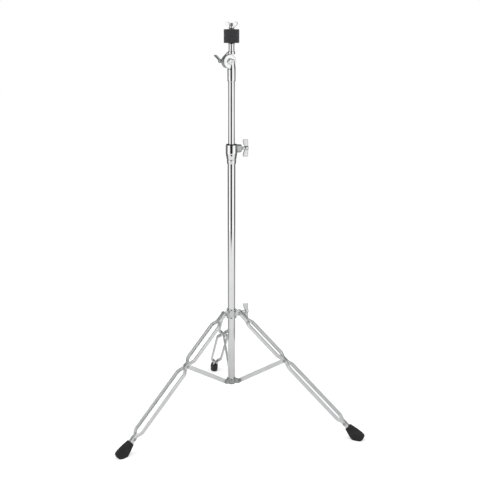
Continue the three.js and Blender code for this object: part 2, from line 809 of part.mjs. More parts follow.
function makeTubeGuide() {
  const stem = upperTubeRadius - upperTubeWall - seatGap;
  const flange = baseTubeBore - slideGap / 2;
  const flangeTop = upperTubeBottom - seatGap;
  const edge = upperTubeWall / 2;
  const profile = [
    [stem - upperTubeWall, flangeTop - plugFlange],
    [flange - edge, flangeTop - plugFlange],
    [flange, flangeTop - plugFlange + edge],
    [flange, flangeTop],
    [stem, flangeTop],
    [stem, upperTubeBottom + plugDepth],
    [stem - upperTubeWall, upperTubeBottom + plugDepth],
    [stem - upperTubeWall, flangeTop - plugFlange],
  ];
  return toSolid(revolve(profile));
}

// Tilter pieces stand in a frame with its origin on the column's axis at the pivot's height,
// x along the pivot towards its wing nut and y towards the side to which the post folds.

// A toothed disc between x = 0 and x = sign * discBack, with its teeth towards the joint plane.
function makeToothedDisc(sign) {
  const outer = discRadius - discHubRise;
  const inner = outer - toothRingWidth;
  const steps = 2 * toothCount;
  const section = [];
  for (let step = 0; step < steps; step += 1) {
    const angle = (step / steps) * fullTurn;
    const tip = step % 2 === (sign > 0 ? 0 : 1);
    section.push({ angle, height: tip ? seatGap / 2 : discGap });
  }
  const positions = [];
  const index = [];
  const base = discGap + discThickness / 2;
  for (const { angle, height } of section) {
    const y = Math.cos(angle);
    const z = Math.sin(angle);
    positions.push(sign * height, outer * y, outer * z);
    positions.push(sign * height, inner * y, inner * z);
    positions.push(sign * base, inner * y, inner * z);
    positions.push(sign * base, outer * y, outer * z);
  }
  for (let step = 0; step < steps; step += 1) {
    const here = 4 * step;
    const next = 4 * ((step + 1) % steps);
    for (let corner = 0; corner < 4; corner += 1) {
      const a = here + corner;
      const b = next + corner;
      const c = next + ((corner + 1) % 4);
      const d = here + ((corner + 1) % 4);
      if (sign > 0) index.push(a, c, b, a, d, c);
      else index.push(a, b, c, a, c, d);
    }
  }
  const teeth = new THREE.BufferGeometry();
  teeth.setAttribute("position", new THREE.Float32BufferAttribute(positions, 3));
  teeth.setIndex(index);
  const edge = discHubRise;
  const rim = [
    [0, discGap],
    [discRadius, discGap],
    [discRadius, discBack - edge],
    [discRadius - edge, discBack],
    [discHubRadius + edge, discBack],
    [discHubRadius, discBack + edge],
    [0, discBack + edge],
  ];
  const disc = revolveX(rim, fineFacets);
  if (sign < 0) disc.rotateZ(Math.PI);
  disc.translate(0, pivotOffset, 0);
  teeth.translate(0, pivotOffset, 0);
  return toSolid(disc).add(toSolid(teeth));
}

function drillPivot(solid) {
  const reach = 2 * discBack;
  const hole = revolveX(diskProfile(pivotBoltRadius + holeGap, -reach, reach));
  return solid.subtract(toSolid(hole.translate(0, pivotOffset, 0)));
}

// The recess for the spring, half in each disc
function springRecess() {
  const recess = springCoilRadius + springWire;
  const depth = discGap + discThickness / 2;
  return toSolid(revolveX(diskProfile(recess, -depth, depth), facets).translate(0, pivotOffset, 0));
}

// A box that keeps one side of the joint plane
function halfSpace(sign) {
  const size = 4 * discRadius;
  const box = new THREE.BoxGeometry(size, 2 * size, 2 * size);
  return toSolid(box.translate(sign * (size / 2 + discGap), 0, 0));
}

// Tilter base: a sleeve on the upper tube that flattens into the disc on the near side
function makeTilterBase() {
  const bore = upperTubeRadius + seatGap;
  const outer = bore + tilterWall;
  const bottom = -pivotAbove;
  const boreTop = tilterBaseDepth - pivotAbove + seatGap;
  const lap = -discRadius - 2 * seatGap; // above it only the near half of the casting goes on
  const edge = tilterWall / 2;
  const sleeveProfile = [
    [0, bottom],
    [outer - edge, bottom],
    [outer, bottom + edge],
    [outer, lap],
    ...shoulderShares.map(([wide, high]) => [outer * wide, discRadius * high]),
    [0, discRadius * shoulderShares[1][1]],
  ];
  const core = toSolid(revolve(sleeveProfile, fineFacets));
  const below = new THREE.BoxGeometry(4 * outer, 4 * outer, lap - bottom + overrun);
  below.translate(0, 0, (lap + bottom - overrun) / 2);
  const lower = core.intersect(toSolid(below));
  const upper = core.subtract(toSolid(below)).intersect(halfSpace(-1));
  const neck = new THREE.Shape();
  neck.moveTo(-outer * cheekReach.root, lap - outer * cheekReach.root);
  neck.lineTo(outer * cheekReach.root, lap - outer * cheekReach.root);
  neck.lineTo(outer, lap);
  neck.lineTo(pivotOffset + discRadius * cheekReach.disc, -discRadius * cheekReach.fall);
  neck.lineTo(pivotOffset, 0);
  neck.lineTo(-outer * cheekReach.back, discRadius * cheekReach.rise);
  neck.closePath();
  const cheek = toSolid(plateYZ(neck, -discBack + edge, -discGap - edge));
  let base = lower.add(upper).add(cheek).add(makeToothedDisc(-1));
  base = base.subtract(boreZ(bore, bottom - overrun, boreTop, fineFacets));
  return drillPivot(base).subtract(springRecess());
}

// Tilter arm: the far disc with the socket for the post
function makeTilterArm() {
  const socketBottom = discRadius + seatGap;
  const socketTop = socketBottom + socketHeight;
  const edge = socketHeight / 6;
  const socketProfile = [
    [0, socketBottom],
    [socketRadius - edge, socketBottom],
    [socketRadius, socketBottom + edge],
    [socketRadius, socketTop - edge],
    [socketRadius - edge, socketTop],
    [0, socketTop],
  ];
  const socket = toSolid(revolve(socketProfile));
  const neck = new THREE.Shape();
  neck.moveTo(-socketRadius * webReach.socket, socketTop - edge);
  neck.lineTo(-socketRadius * webReach.socket, 0);
  neck.lineTo(pivotOffset + discRadius * webReach.disc, discRadius * webReach.disc);
  neck.lineTo(socketRadius * webReach.socket, socketTop - edge);
  neck.closePath();
  const web = toSolid(plateYZ(neck, discGap + edge / 2, discBack - edge / 2));
  const pocketBottom = socketBottom + socketHeight / 2 - seatGap;
  const pocket = boreZ(postRadius + seatGap, pocketBottom, socketTop + overrun);
  const arm = socket.add(web).add(makeToothedDisc(1)).subtract(pocket);
  return drillPivot(arm).subtract(springRecess());
}

function makeTilterBolt() {
  const seat = -nutSeat;
  const end = nutHubStart + wingRootDepth / 2;
  const headTop = seat - pivotHeadRise;
  const dome = quarterRound([0, headTop], [pivotHeadRadius, headTop], [pivotHeadRadius, seat]);
  const point = pivotBoltRadius / 4;
  const profile = [
    ...dome,
    [pivotBoltRadius, seat],
    [pivotBoltRadius, end - point],
    [pivotBoltRadius - point, end],
    [0, end],
  ];
  return toSolid(revolveX(profile, facets).translate(0, pivotOffset, 0));
}

// The spring between the discs, as one helix of wire
function makeTilterSpring() {
  const length = 2 * (discGap + discThickness / 2) - 2 * seatGap - springWire;
  const steps = Math.round(springTurns * coilSteps);
  const section = [];
  for (let side = 0; side < wireFacets; side += 1) {
    const angle = (side / wireFacets) * fullTurn;
    section.push(new THREE.Vector2((springWire / 2) * Math.cos(angle), (springWire / 2) * Math.sin(angle)));
  }
  const stations = [];
  for (let step = 0; step <= steps; step += 1) {
    const angle = (step / coilSteps) * fullTurn;
    const radial = new THREE.Vector3(0, Math.cos(angle), Math.sin(angle));
    const origin = radial.clone().multiplyScalar(springCoilRadius);
    origin.x = length * (step / steps - 0.5);
    origin.y += pivotOffset;
    stations.push({ origin, across: radial, up: new THREE.Vector3(-1, 0, 0) });
  }
  return toSolid(sweep(section, stations));
}

function makeTilterNut() {
  const holeEnd = nutHubStart + wingRootDepth / 2 + seatGap;
  const hole = revolveX(diskProfile(pivotBoltRadius + holeGap, 0, holeEnd));
  return makeWingHead(nutSeat, tilterNutNeck).subtract(toSolid(hole));
}

// Cymbal post and what stands on it
function makePost() {
  return toSolid(revolve(ringProfile(postRadius - postWall, postRadius, postBottom, postTop)));
}

function makeRod() {
  const root = postRadius - postWall - seatGap;
  const bottom = postTop - rodInPost;
  const point = rodRadius / 4;
  const profile = [
    [0, bottom],
    [root, bottom],
    [root, postTop - seatGap],
    [rodRadius, postTop - seatGap],
    [rodRadius, rodTop - point],
    [rodRadius - point, rodTop],
    [0, rodTop],
  ];
  return toSolid(revolve(profile, facets));
}

function makeWasher() {
  const bottom = postTop + seatGap;
  const edge = washerThickness / 3;
  const hole = rodRadius + holeGap;
  const profile = [
    [hole, bottom],
    [washerRadius - edge, bottom],
    [washerRadius, bottom + edge],
    [washerRadius, washerTop - edge],
    [washerRadius - edge, washerTop],
    [hole, washerTop],
    [hole, bottom],
  ];
  return toSolid(revolve(profile));
}

function makeSleeve() {
  const bottom = washerTop + seatGap;
  const bore = sleeveRadius - sleeveWall;
  const flangeTop = bottom + sleeveFlangeHeight;
  const top = upperFeltTop - seatGap;
  const profile = [
    [bore, bottom],
    [sleeveFlangeRadius, bottom],
    [sleeveFlangeRadius, flangeTop],
    [sleeveRadius, flangeTop],
    [sleeveRadius, top],
    [bore, top],
    [bore, bottom],
  ];
  return toSolid(revolve(profile));
}

function makeFelt(bottom) {
  const bore = sleeveRadius + seatGap;
  const top = bottom + feltThickness;
  const flat = feltRadius - feltRound;
  const lower = quarterRound([flat, bottom], [feltRadius, bottom], [feltRadius, bottom + feltRound]);
  const upper = quarterRound([feltRadius, top - feltRound], [feltRadius, top], [flat, top]);
  return toSolid(revolve([[bore, bottom], ...lower, ...upper, [bore, top], [bore, bottom]], fineFacets));
}

// Top wing nut: a tapered hub with two wings that rise from it
function makeTopNut() {
  const edge = topNutHubRadius / 5;
  const hub = [
    [0, topNutSeat],
    [topNutHubRadius + edge, topNutSeat],
    [topNutHubRadius + edge, topNutSeat + edge],
    [topNutHubRadius, topNutSeat + 2 * edge],
    [topNutHubRadius - edge, topNutSeat + topNutHeight],
    [0, topNutSeat + topNutHeight],
  ];
  const root = rodRadius + edge;
  const wings = new THREE.Shape();
  wings.moveTo(-root, topNutSeat + edge);
  wings.lineTo(root, topNutSeat + edge);
  const { elbow, belly, side, crown, inside } = topNutShares;
  const at = (way, [wide, high]) => [(way * wide * topNutSpan) / 2, topNutSeat + high * topNutRise];
  wings.lineTo(...at(1, elbow));
  wings.quadraticCurveTo(...at(1, belly), ...at(1, side));
  wings.quadraticCurveTo(...at(1, [1, 1]), ...at(1, crown));
  wings.lineTo(...at(1, inside));
  wings.lineTo(root, topNutSeat + topNutHeight);
  wings.lineTo(-root, topNutSeat + topNutHeight);
  wings.lineTo(...at(-1, inside));
  wings.lineTo(...at(-1, crown));
  wings.quadraticCurveTo(...at(-1, [1, 1]), ...at(-1, side));
  wings.quadraticCurveTo(...at(-1, belly), ...at(-1, elbow));
  wings.closePath();
  const plate = plateXZ(wings, wingThickness / 2, roundSteps);
  const nut = toSolid(revolve(hub, facets)).add(toSolid(plate));
  const holeTop = topNutSeat + topNutRise + overrun;
  return nut.subtract(boreZ(rodRadius + holeGap, topNutSeat - overrun, holeTop));
}

// Assembly
const stand = new THREE.Group();

function groupAt(parent, azimuth, height = 0) {
  const group = new THREE.Group();
  group.position.z = height;
  group.rotation.z = azimuth * degree;
  parent.add(group);
  return group;
}

addMesh(stand, "base_tube", makeBaseTube(), chrome);
addMesh(stand, "base_end_plug", makeEndPlug(), blackNylon);
addMesh(stand, "spider", makeSpider(), chrome);
addMesh(stand, "leg_collar", makeCollar(), chrome);
addMesh(stand, "height_clamp", makeClamp(), chrome);
addMesh(stand, "clamp_bushing", makeBushing(), blackNylon);
addMesh(stand, "upper_tube", makeUpperTube(), chrome);
addMesh(stand, "tube_guide", makeTubeGuide(), blackNylon);

const clampBolt = makeWingBolt(bushingRadius + seatGap, clampBossReach + seatGap, clampNeckLength);
addMesh(groupAt(stand, boltAzimuth, clampBoltHeight), "clamp_wing_bolt", clampBolt, chrome);
const collarBolt = makeWingBolt(baseTubeRadius + seatGap, bossReach + seatGap, collarNeckLength);
addMesh(groupAt(stand, boltAzimuth, collarBottom + collarHeight / 2), "collar_wing_bolt", collarBolt, chrome);

for (const [name, azimuth] of Object.entries(legAzimuths)) {
  const side = groupAt(stand, azimuth);
  const leg = new THREE.Group();
  leg.position.set(hingeRadius, 0, hingeHeight);
  leg.rotation.y = legSlope * degree;
  side.add(leg);
  addMesh(leg, name + "_leg_strip_a", makeStrip(1), chrome);
  addMesh(leg, name + "_leg_strip_b", makeStrip(-1), chrome);
  addMesh(leg, name + "_leg_top_rivet", makeRivet(pinchHalf + stripDepth), steel);
  const rivetA = addMesh(leg, name + "_leg_middle_rivet_a", makeHalfRivet(), steel);
  rivetA.position.x = hingeToMiddle;
  const rivetB = addMesh(leg, name + "_leg_middle_rivet_b", makeHalfRivet(), steel);
  rivetB.position.x = hingeToMiddle;
  rivetB.rotation.z = Math.PI;
  const foot = addMesh(leg, name + "_leg_foot_rivet", makeFootRivet(), steel);
  foot.position.x = footRivet;
  addMesh(leg, name + "_boot", makeBoot(), blackRubber);
  const brace = new THREE.Group();
  brace.position.set(spiderHingeRadius, 0, spiderHingeHeight);
  brace.rotation.y = -braceSlope * degree;
  side.add(brace);
  addMesh(brace, name + "_brace", makeBrace(), chrome);
  const earOuter = braceThickness / 2 + seatGap + earThickness;
  addMesh(brace, name + "_brace_rivet", makeRivet(earOuter), steel);
}

const tilter = groupAt(stand, tilterAzimuth, pivotHeight);
addMesh(tilter, "tilter_base", makeTilterBase(), chrome);
addMesh(tilter, "tilter_arm", makeTilterArm(), chrome);
addMesh(tilter, "tilter_bolt", makeTilterBolt(), chrome);
addMesh(tilter, "tilter_spring", makeTilterSpring(), steel);
const tilterNut = addMesh(tilter, "tilter_wing_nut", makeTilterNut(), chrome);
tilterNut.position.y = pivotOffset;
tilterNut.rotation.x = -tilterNutTurn * degree;

addMesh(stand, "cymbal_post", makePost(), chrome);
addMesh(stand, "threaded_rod", makeRod(), steel);
addMesh(stand, "seat_washer", makeWasher(), chrome);
addMesh(stand, "cymbal_sleeve", makeSleeve(), blackNylon);
addMesh(stand, "lower_felt", makeFelt(lowerFeltBottom), blackFelt);
addMesh(stand, "upper_felt", makeFelt(upperFeltBottom), blackFelt);
const topNut = addMesh(stand, "top_wing_nut", makeTopNut(), chrome);
topNut.rotation.z = topNutTurn * degree;

export default stand;
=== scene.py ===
import math

import bmesh
import bpy
from mathutils import Matrix, Vector


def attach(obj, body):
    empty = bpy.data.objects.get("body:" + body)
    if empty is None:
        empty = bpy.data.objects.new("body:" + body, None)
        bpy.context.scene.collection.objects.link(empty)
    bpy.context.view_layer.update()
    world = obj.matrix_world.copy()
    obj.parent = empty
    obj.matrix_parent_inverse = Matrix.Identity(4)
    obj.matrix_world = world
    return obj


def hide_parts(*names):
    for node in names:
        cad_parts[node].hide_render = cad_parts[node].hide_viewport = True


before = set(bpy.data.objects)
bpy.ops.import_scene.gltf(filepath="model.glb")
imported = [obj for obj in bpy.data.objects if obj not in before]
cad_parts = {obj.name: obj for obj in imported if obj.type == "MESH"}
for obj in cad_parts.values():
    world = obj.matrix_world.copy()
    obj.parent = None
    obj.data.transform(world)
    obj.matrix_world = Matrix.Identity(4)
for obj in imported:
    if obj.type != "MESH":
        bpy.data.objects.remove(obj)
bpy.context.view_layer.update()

# Sizes are in millimetres and angles in degrees, unless a note says otherwise.
mm = 0.001
gap = 0.3  # between pieces that rest on each other
fine = 128  # segments of the large round pieces
beyond = 600  # how far a cutter reaches where nothing stands in its way
print("stage: frame loaded")


def addObject(name, data):
    thing = bpy.data.objects.new(name, data)
    bpy.context.collection.objects.link(thing)
    return thing


def pick(sizes, names):
    return [sizes[name] for name in names.split()]


# Camera
viewpoint = {
    "distance": 2371.5, "azimuth": -98.98, "height": 1135.4, "pitch": 13.71, "angle": 31.64,
    "shift": 0.0177,  # share of the frame by which the tube stands left of its middle
}


def makeCamera(sizes):
    data = bpy.data.cameras.new("camera")
    data.sensor_fit = "HORIZONTAL"
    data.angle = math.radians(sizes["angle"])
    data.shift_x = sizes["shift"]
    data.clip_end = 100
    camera = addObject("camera", data)
    turn = math.radians(sizes["azimuth"])
    camera.location = Vector((math.cos(turn), math.sin(turn), 0)) * sizes["distance"] * mm
    camera.location.z = sizes["height"] * mm
    camera.rotation_euler = (math.radians(90 - sizes["pitch"]), 0, turn + math.pi / 2)
    bpy.context.scene.camera = camera


makeCamera(viewpoint)


# Small tools for places
def turnZ(angle):
    return Matrix.Rotation(math.radians(angle), 4, "Z")


def turnY(angle):
    return Matrix.Rotation(math.radians(angle), 4, "Y")


def turnX(angle):
    return Matrix.Rotation(math.radians(angle), 4, "X")


def move(x, y, z):
    return Matrix.Translation((x, y, z))


def facing(way):
    return Matrix() if way > 0 else turnZ(180)


alongX = turnY(90)  # lays a piece that was turned about Z along X
alongY = turnX(-90)
plateUp = turnX(90)  # stands a plate drawn in XY up in XZ, with its thickness along -Y
plateAcross = turnZ(90) @ turnX(90)  # stands it up in YZ, with its thickness along X


# Small tools for meshes
def shade(piece, sharp=35):
    piece.data.shade_smooth()
    piece.data.set_sharp_from_angle(angle=math.radians(sharp))


def buildPiece(name, points, faces, material, where=Matrix(), sharp=35):
    mesh = bpy.data.meshes.new(name)
    mesh.from_pydata([(where @ Vector(point)) * mm for point in points], [], faces)
    piece = addObject(name, mesh)
    mesh.materials.append(material)
    shade(piece, sharp)
    return piece


def settle(piece):
    bpy.context.view_layer.update()
    graph = bpy.context.evaluated_depsgraph_get()
    mesh = bpy.data.meshes.new_from_object(piece.evaluated_get(graph))
    piece.modifiers.clear()
    piece.data = mesh
    piece.data.name = piece.name


def discard(piece):
    bpy.data.objects.remove(piece, do_unlink=True)


def place(piece, matrix):
    scaled = matrix.copy()
    scaled.translation = matrix.translation * mm
    piece.data.transform(scaled)
    return piece


def joinInto(piece, others):
    combined = bmesh.new()
    for part in [piece] + others:
        combined.from_mesh(part.data)
    combined.to_mesh(piece.data)
    combined.free()
    for part in others:
        discard(part)


def workOut(piece, operation, others):
    for other in others:
        modifier = piece.modifiers.new(operation, "BOOLEAN")
        modifier.operation = operation
        modifier.solver = "EXACT"
        modifier.object = other
        settle(piece)
        discard(other)


def fuse(piece, *others):
    workOut(piece, "UNION", others)


def cut(piece, *others):
    workOut(piece, "DIFFERENCE", others)


def trimTo(piece, other):
    workOut(piece, "INTERSECT", [other])
    shade(piece, 40)


# The rounded skin of a cast piece
def castSkin(piece, voxel, smoothing):
    skin = piece.modifiers.new("skin", "REMESH")
    skin.mode = "VOXEL"
    skin.voxel_size = voxel * mm
    skin.use_smooth_shade = True
    relax = piece.modifiers.new("relax", "SMOOTH")
    relax.factor = 0.5
    relax.iterations = smoothing
    material = piece.data.materials[0]
    settle(piece)
    piece.data.materials.clear()
    piece.data.materials.append(material)
    piece.data.shade_smooth()


def fillet(corners, radius, closed=False, steps=4):
    rounded = []
    count = len(corners)
    radii = radius if isinstance(radius, list) else [radius] * count
    for item, corner in enumerate(corners):
        here = Vector(corner)
        if radii[item] <= 0 or (not closed and item in (0, count - 1)):
            rounded.append(here)
            continue
        before = Vector(corners[item - 1]) - here
        after = Vector(corners[(item + 1) % count]) - here
        reach = radii[item] / max(math.tan(before.angle(after) / 2), 0.05)
        reach = min(reach, before.length * 0.48, after.length * 0.48)
        start = here + before.normalized() * reach
        end = here + after.normalized() * reach
        for step in range(steps + 1):
            share = step / steps
            rounded.append(start * (1 - share) ** 2 + here * 2 * share * (1 - share) + end * share ** 2)
    return rounded


def turned(name, profile, material, where=Matrix(), segments=96, closed=False, sharp=35):
    points, faces, rings = [], [], []
    for radius, height in profile:
        if radius < 1e-6:
            rings.append([len(points)] * segments)
            points.append((0, 0, height))
            continue
        rings.append(list(range(len(points), len(points) + segments)))
        for step in range(segments):
            angle = 2 * math.pi * step / segments
            points.append((radius * math.cos(angle), radius * math.sin(angle), height))
    pairs = list(zip(rings, rings[1:]))
    if closed:
        pairs.append((rings[-1], rings[0]))
    for low, high in pairs:
        for step in range(segments):
            after = (step + 1) % segments
            face = [low[step], low[after], high[after], high[step]]
            face = [item for spot, item in enumerate(face) if item not in face[:spot]]
            if len(face) > 2:
                faces.append(face)
    return buildPiece(name, points, faces, material, where, sharp)


# A profile in steps: a radius, a height, a radius, a height and so on
def stepped(values):
    corners = []
    for item in range(len(values) - 1):
        pair = values[item:item + 2]
        corners.append(pair if item % 2 == 0 else pair[::-1])
    return corners


# Open at the axis, or closed round a bore where the steps begin beside it
def lathe(name, steps, rounds, material, segments=96, where=Matrix()):
    closed = steps[0] > 0
    return turned(name, fillet(stepped(steps), rounds, closed), material, where, segments, closed)


# A round cutter
def drill(radius, bottom, top, where=Matrix(), segments=96):
    return lathe("drill", (0, bottom, radius, top, 0), 0, None, segments, where)


# Cutters and parts that are fused take the material of the piece
def plate(name, outline, low, high, where=Matrix()):
    count = len(outline)
    points = [(x, y, level) for level in (low, high) for x, y in outline]
    faces = [list(range(count))[::-1], list(range(count, 2 * count))]
    for item in range(count):
        after = (item + 1) % count
        faces.append([item, after, count + after, count + item])
    return buildPiece(name, points, faces, None, where)


# From half its width and height
def rectangle(wide, tall):
    return [(-wide, -tall), (wide, -tall), (wide, tall), (-wide, tall)]


def arc(centre, radius, start, end, steps=24):
    spots = []
    for step in range(steps + 1):
        angle = math.radians(start + (end - start) * step / steps)
        spots.append((centre[0] + radius * math.cos(angle), centre[1] + radius * math.sin(angle)))
    return spots


def capsule(start, end, radius):
    turn = math.degrees(math.atan2(end[1] - start[1], end[0] - start[0]))
    return arc(start, radius, turn + 90, turn + 270) + arc(end, radius, turn - 90, turn + 90)


# An oval from -1 to 1, squarer the smaller its power
def squareOval(power, count):
    section = []
    for step in range(count):
        angle = 2 * math.pi * step / count
        spot = math.cos(angle), math.sin(angle)
        section.append([math.copysign(abs(value) ** power, value) for value in spot])
    return section


# Each station has the section's origin and the directions of its x and y
def swept(name, section, stations, material, where=Matrix(), sharp=40):
    points, faces = [], []
    count = len(section)
    for origin, across, up in stations:
        for x, y in section:
            points.append(Vector(origin) + Vector(across) * x + Vector(up) * y)
    for ring in range(len(stations) - 1):
        for side in range(count):
            after = (side + 1) % count
            low, high = ring * count, (ring + 1) * count
            faces.append([low + side, low + after, high + after, high + side])
    faces.append(list(range(count))[::-1])
    faces.append([len(points) - count + side for side in range(count)])
    return buildPiece(name, points, faces, material, where, sharp)


# Small tools for node trees
def feed(tree, node, inputs):
    for key, value in inputs.items():
        if isinstance(value, bpy.types.NodeSocket):
            tree.links.new(value, node.inputs[key])
        else:
            node.inputs[key].default_value = value


def addNode(tree, kind, inputs={}, **settings):
    node = tree.nodes.new(kind)
    for key, value in settings.items():
        setattr(node, key, value)
    feed(tree, node, inputs)
    return node.outputs


def newTree(name, kind, inputs, outputs):
    # the names of the sockets stand under their kind
    tree = bpy.data.node_groups.new(name, kind)
    for way, sockets in (("INPUT", inputs), ("OUTPUT", outputs)):
        for socketKind, labels in sockets.items():
            for label in labels.split():
                tree.interface.new_socket(label, in_out=way, socket_type="NodeSocket" + socketKind)
    return tree, tree.nodes.new("NodeGroupInput").outputs, tree.nodes.new("NodeGroupOutput")


def calc(tree, operation, first, second, clamp=False):
    return addNode(tree, "ShaderNodeMath", {0: first, 1: second}, operation=operation, use_clamp=clamp)[0]


def vectorCalc(tree, operation, inputs):
    return addNode(tree, "ShaderNodeVectorMath", inputs, operation=operation)


def remap(tree, value, low, high, toLow=0.0, toHigh=1.0):
    return addNode(tree, "ShaderNodeMapRange", {
        "Value": value, "From Min": low, "From Max": high, "To Min": toLow, "To Max": toHigh})["Result"]


def noise(tree, where, scale, detail, roughness):
    return addNode(tree, "ShaderNodeTexNoise", {
        "Vector": where, "Scale": scale, "Detail": detail, "Roughness": roughness})


def spots(tree, where, scale, detail, roughness, low, high):
    return remap(tree, noise(tree, where, scale, detail, roughness)["Fac"], low, high)


def stretch(tree, where, scale):
    return addNode(tree, "ShaderNodeMapping", {"Vector": where, "Scale": scale})["Vector"]


def mixColors(tree, share, first, second):
    return addNode(tree, "ShaderNodeMix", {0: share, 6: first, 7: second}, data_type="RGBA")[2]


# Effects that several materials share
effectOutputs = {"Color": "Color", "Float": "Roughness Height"}
patterns = {
    # scale, detail and roughness of a noise, then the span of it that counts
    "haze": (38.0, 5.0, 0.62, 0.42, 0.72),
    "hazeSpots": (420.0, 3.0, 0.7, 0.6, 0.74),
    "polishLines": (1.0, 4.0, 0.55, 0.45, 0.75),
    "lineStretch": (900.0, 900.0, 45.0),
    "hazeDulls": 0.94,
    "dust": (55.0, 6.0, 0.72, 0.45, 0.8),
    "dustColor": (0.16, 0.155, 0.15, 1.0),
    "grainNoise": (900.0, 4.0, 0.7),
    "grainRoughness": (-0.07, 0.1),
    "fibreBend": (160.0, 2.0, 0.5),
    "fibreBendReach": 0.012,
    "fibreStretch": (1.0, 0.22, 0.55),
    "fibreNoise": (6.0, 0.7),
    "fibreSpan": (0.36, 0.68),
    "fibreRoughness": (0.85, 1.0),
}


def makePolishMarks():
    group, given, result = newTree("polishMarks", "ShaderNodeTree", {
        "Vector": "Vector", "Color": "Color", "Float": "Roughness Haze Scratches"}, effectOutputs)
    where = given["Vector"]
    haze = spots(group, where, *patterns["haze"])
    small = spots(group, where, *patterns["hazeSpots"])
    lines = spots(group, stretch(group, where, patterns["lineStretch"]), *patterns["polishLines"])
    rise = calc(group, "ADD", *(calc(group, "MULTIPLY", marks, given["Haze"]) for marks in (haze, small)))
    dull = remap(group, haze, 0.0, 1.0, 1.0, patterns["hazeDulls"])
    tint = vectorCalc(group, "SCALE", {0: given["Color"], "Scale": dull})["Vector"]
    feed(group, result, {
        "Color": tint, "Roughness": calc(group, "ADD", rise, given["Roughness"], True),
        "Height": calc(group, "MULTIPLY", lines, given["Scratches"])})
    return group


def makeMouldGrain():
    group, given, result = newTree("mouldGrain", "ShaderNodeTree", {
        "Vector": "Vector", "Color": "Color", "Float": "Roughness Grain Dust"}, effectOutputs)
    where = given["Vector"]
    grain = addNode(group, "ShaderNodeTexVoronoi", {"Vector": where, "Scale": given["Grain"]})["Distance"]
    small = noise(group, where, *patterns["grainNoise"])["Fac"]
    dust = calc(group, "MULTIPLY", spots(group, where, *patterns["dust"]), given["Dust"])
    rise = remap(group, small, 0.0, 1.0, *patterns["grainRoughness"])
    feed(group, result, {
        "Color": mixColors(group, dust, given["Color"], patterns["dustColor"]),
        "Roughness": calc(group, "ADD", rise, given["Roughness"], True),
        "Height": calc(group, "ADD", grain, small)})
    return group


def makeFeltFibre():
    group, given, result = newTree("feltFibre", "ShaderNodeTree", {
        "Vector": "Vector", "Color": "Dark Light", "Float": "Fibre"}, effectOutputs)
    bend = noise(group, given["Vector"], *patterns["fibreBend"])["Color"]
    push = vectorCalc(group, "SCALE", {0: bend, "Scale": patterns["fibreBendReach"]})["Vector"]
    bent = vectorCalc(group, "ADD", {0: given["Vector"], 1: push})["Vector"]
    drawn = stretch(group, bent, patterns["fibreStretch"])
    threads = noise(group, drawn, given["Fibre"], *patterns["fibreNoise"])["Fac"]
    share = remap(group, threads, *patterns["fibreSpan"])
    feed(group, result, {
        "Color": mixColors(group, share, given["Dark"], given["Light"]),
        "Roughness": remap(group, threads, 0.0, 1.0, *patterns["fibreRoughness"]), "Height": threads})
    return group


polishMarks = makePolishMarks()
mouldGrain = makeMouldGrain()
feltFibre = makeFeltFibre()

chromeWhite = (0.94, 0.945, 0.95, 1.0)
dullSteel = (0.52, 0.525, 0.53, 1.0)
metals = {
    # the values of the finish, the bump's strength and its depth in metres, the pattern's turn in radians
    "tubeChrome": (chromeWhite, 0.02, 0.02, 0.4, 0.04, 0.00002),
    "castChrome": (chromeWhite, 0.05, 0.03, 0.5, 0.06, 0.00004),
    "castSatin": (dullSteel, 0.3, 0.08, 0.9, 0.2, 0.00006, (0.5, 0.3, 0)),
    "wingChrome": ((0.74, 0.745, 0.75, 1.0), 0.08, 0.05, 0.7, 0.1, 0.00004, (0, 0.4, 0.9)),
    "legChrome": ((0.93, 0.935, 0.94, 1.0), 0.46, 0.08, 0.8, 0.12, 0.00004, (0, 0.8, 0)),
    "rivetSteel": (dullSteel, 0.34, 0.1, 1.0, 0.15, 0.00005, (0.9, 0, 0.4)),
    # a near-black finish for the plug in the clamp's dimple: painted shade of the dimple
    "dimpleShadeBlack": ((0.03, 0.03, 0.032, 1.0), 0.4, 0.15, 0.6, 0.2, 0.00005),
}
blacks = {
    "bootRubber": ((0.012, 0.012, 0.013, 1.0), 0.62, 700.0, 0.12, 0.25, 0.00012),
    "blackNylon": ((0.014, 0.014, 0.015, 1.0), 0.5, 1200.0, 0.03, 0.12, 0.00006),
    "blackFelt": ((0.02, 0.02, 0.022, 1.0), (0.046, 0.046, 0.049, 1.0), 1500.0, 0.6, 0.0005),
}
metalValues = ("Color", "Roughness", "Haze", "Scratches")
mouldValues = ("Color", "Roughness", "Grain", "Dust")
feltValues = ("Dark", "Light", "Fibre")


def newMaterial(name):
    material = bpy.data.materials.new(name)
    material.use_nodes = True
    return material, material.node_tree


def makeFinish(name, row, group, labels, fixed):
    values = dict(zip(labels, row))
    strength, depth, turn = (*row[len(labels):], (0, 0, 0))[:3]
    material, tree = newMaterial(name)
    where = addNode(tree, "ShaderNodeTexCoord")["Object"]
    values["Vector"] = addNode(tree, "ShaderNodeMapping", {"Vector": where, "Rotation": turn})["Vector"]
    effect = addNode(tree, "ShaderNodeGroup", values, node_tree=group)
    relief = addNode(tree, "ShaderNodeBump", {
        "Strength": strength, "Distance": depth, "Height": effect["Height"]})
    feed(tree, tree.nodes["Principled BSDF"], {
        "Base Color": effect["Color"], "Roughness": effect["Roughness"], "Normal": relief["Normal"], **fixed})
    return material


tubeChrome, castChrome, castSatin, wingChrome, legChrome, rivetSteel, dimpleShadeBlack = (
    makeFinish(name, row, polishMarks, metalValues, {"Metallic": 1.0}) for name, row in metals.items())
bootRubber, blackNylon = (
    makeFinish(name, blacks[name], mouldGrain, mouldValues, {"Specular IOR Level": shine})
    for name, shine in (("bootRubber", 0.35), ("blackNylon", 0.3)))
blackFelt = makeFinish("blackFelt", blacks["blackFelt"], feltFibre, feltValues, {
    "Specular IOR Level": 0.1, "Sheen Weight": 0.15, "Sheen Roughness": 0.6})
print("stage: materials made")


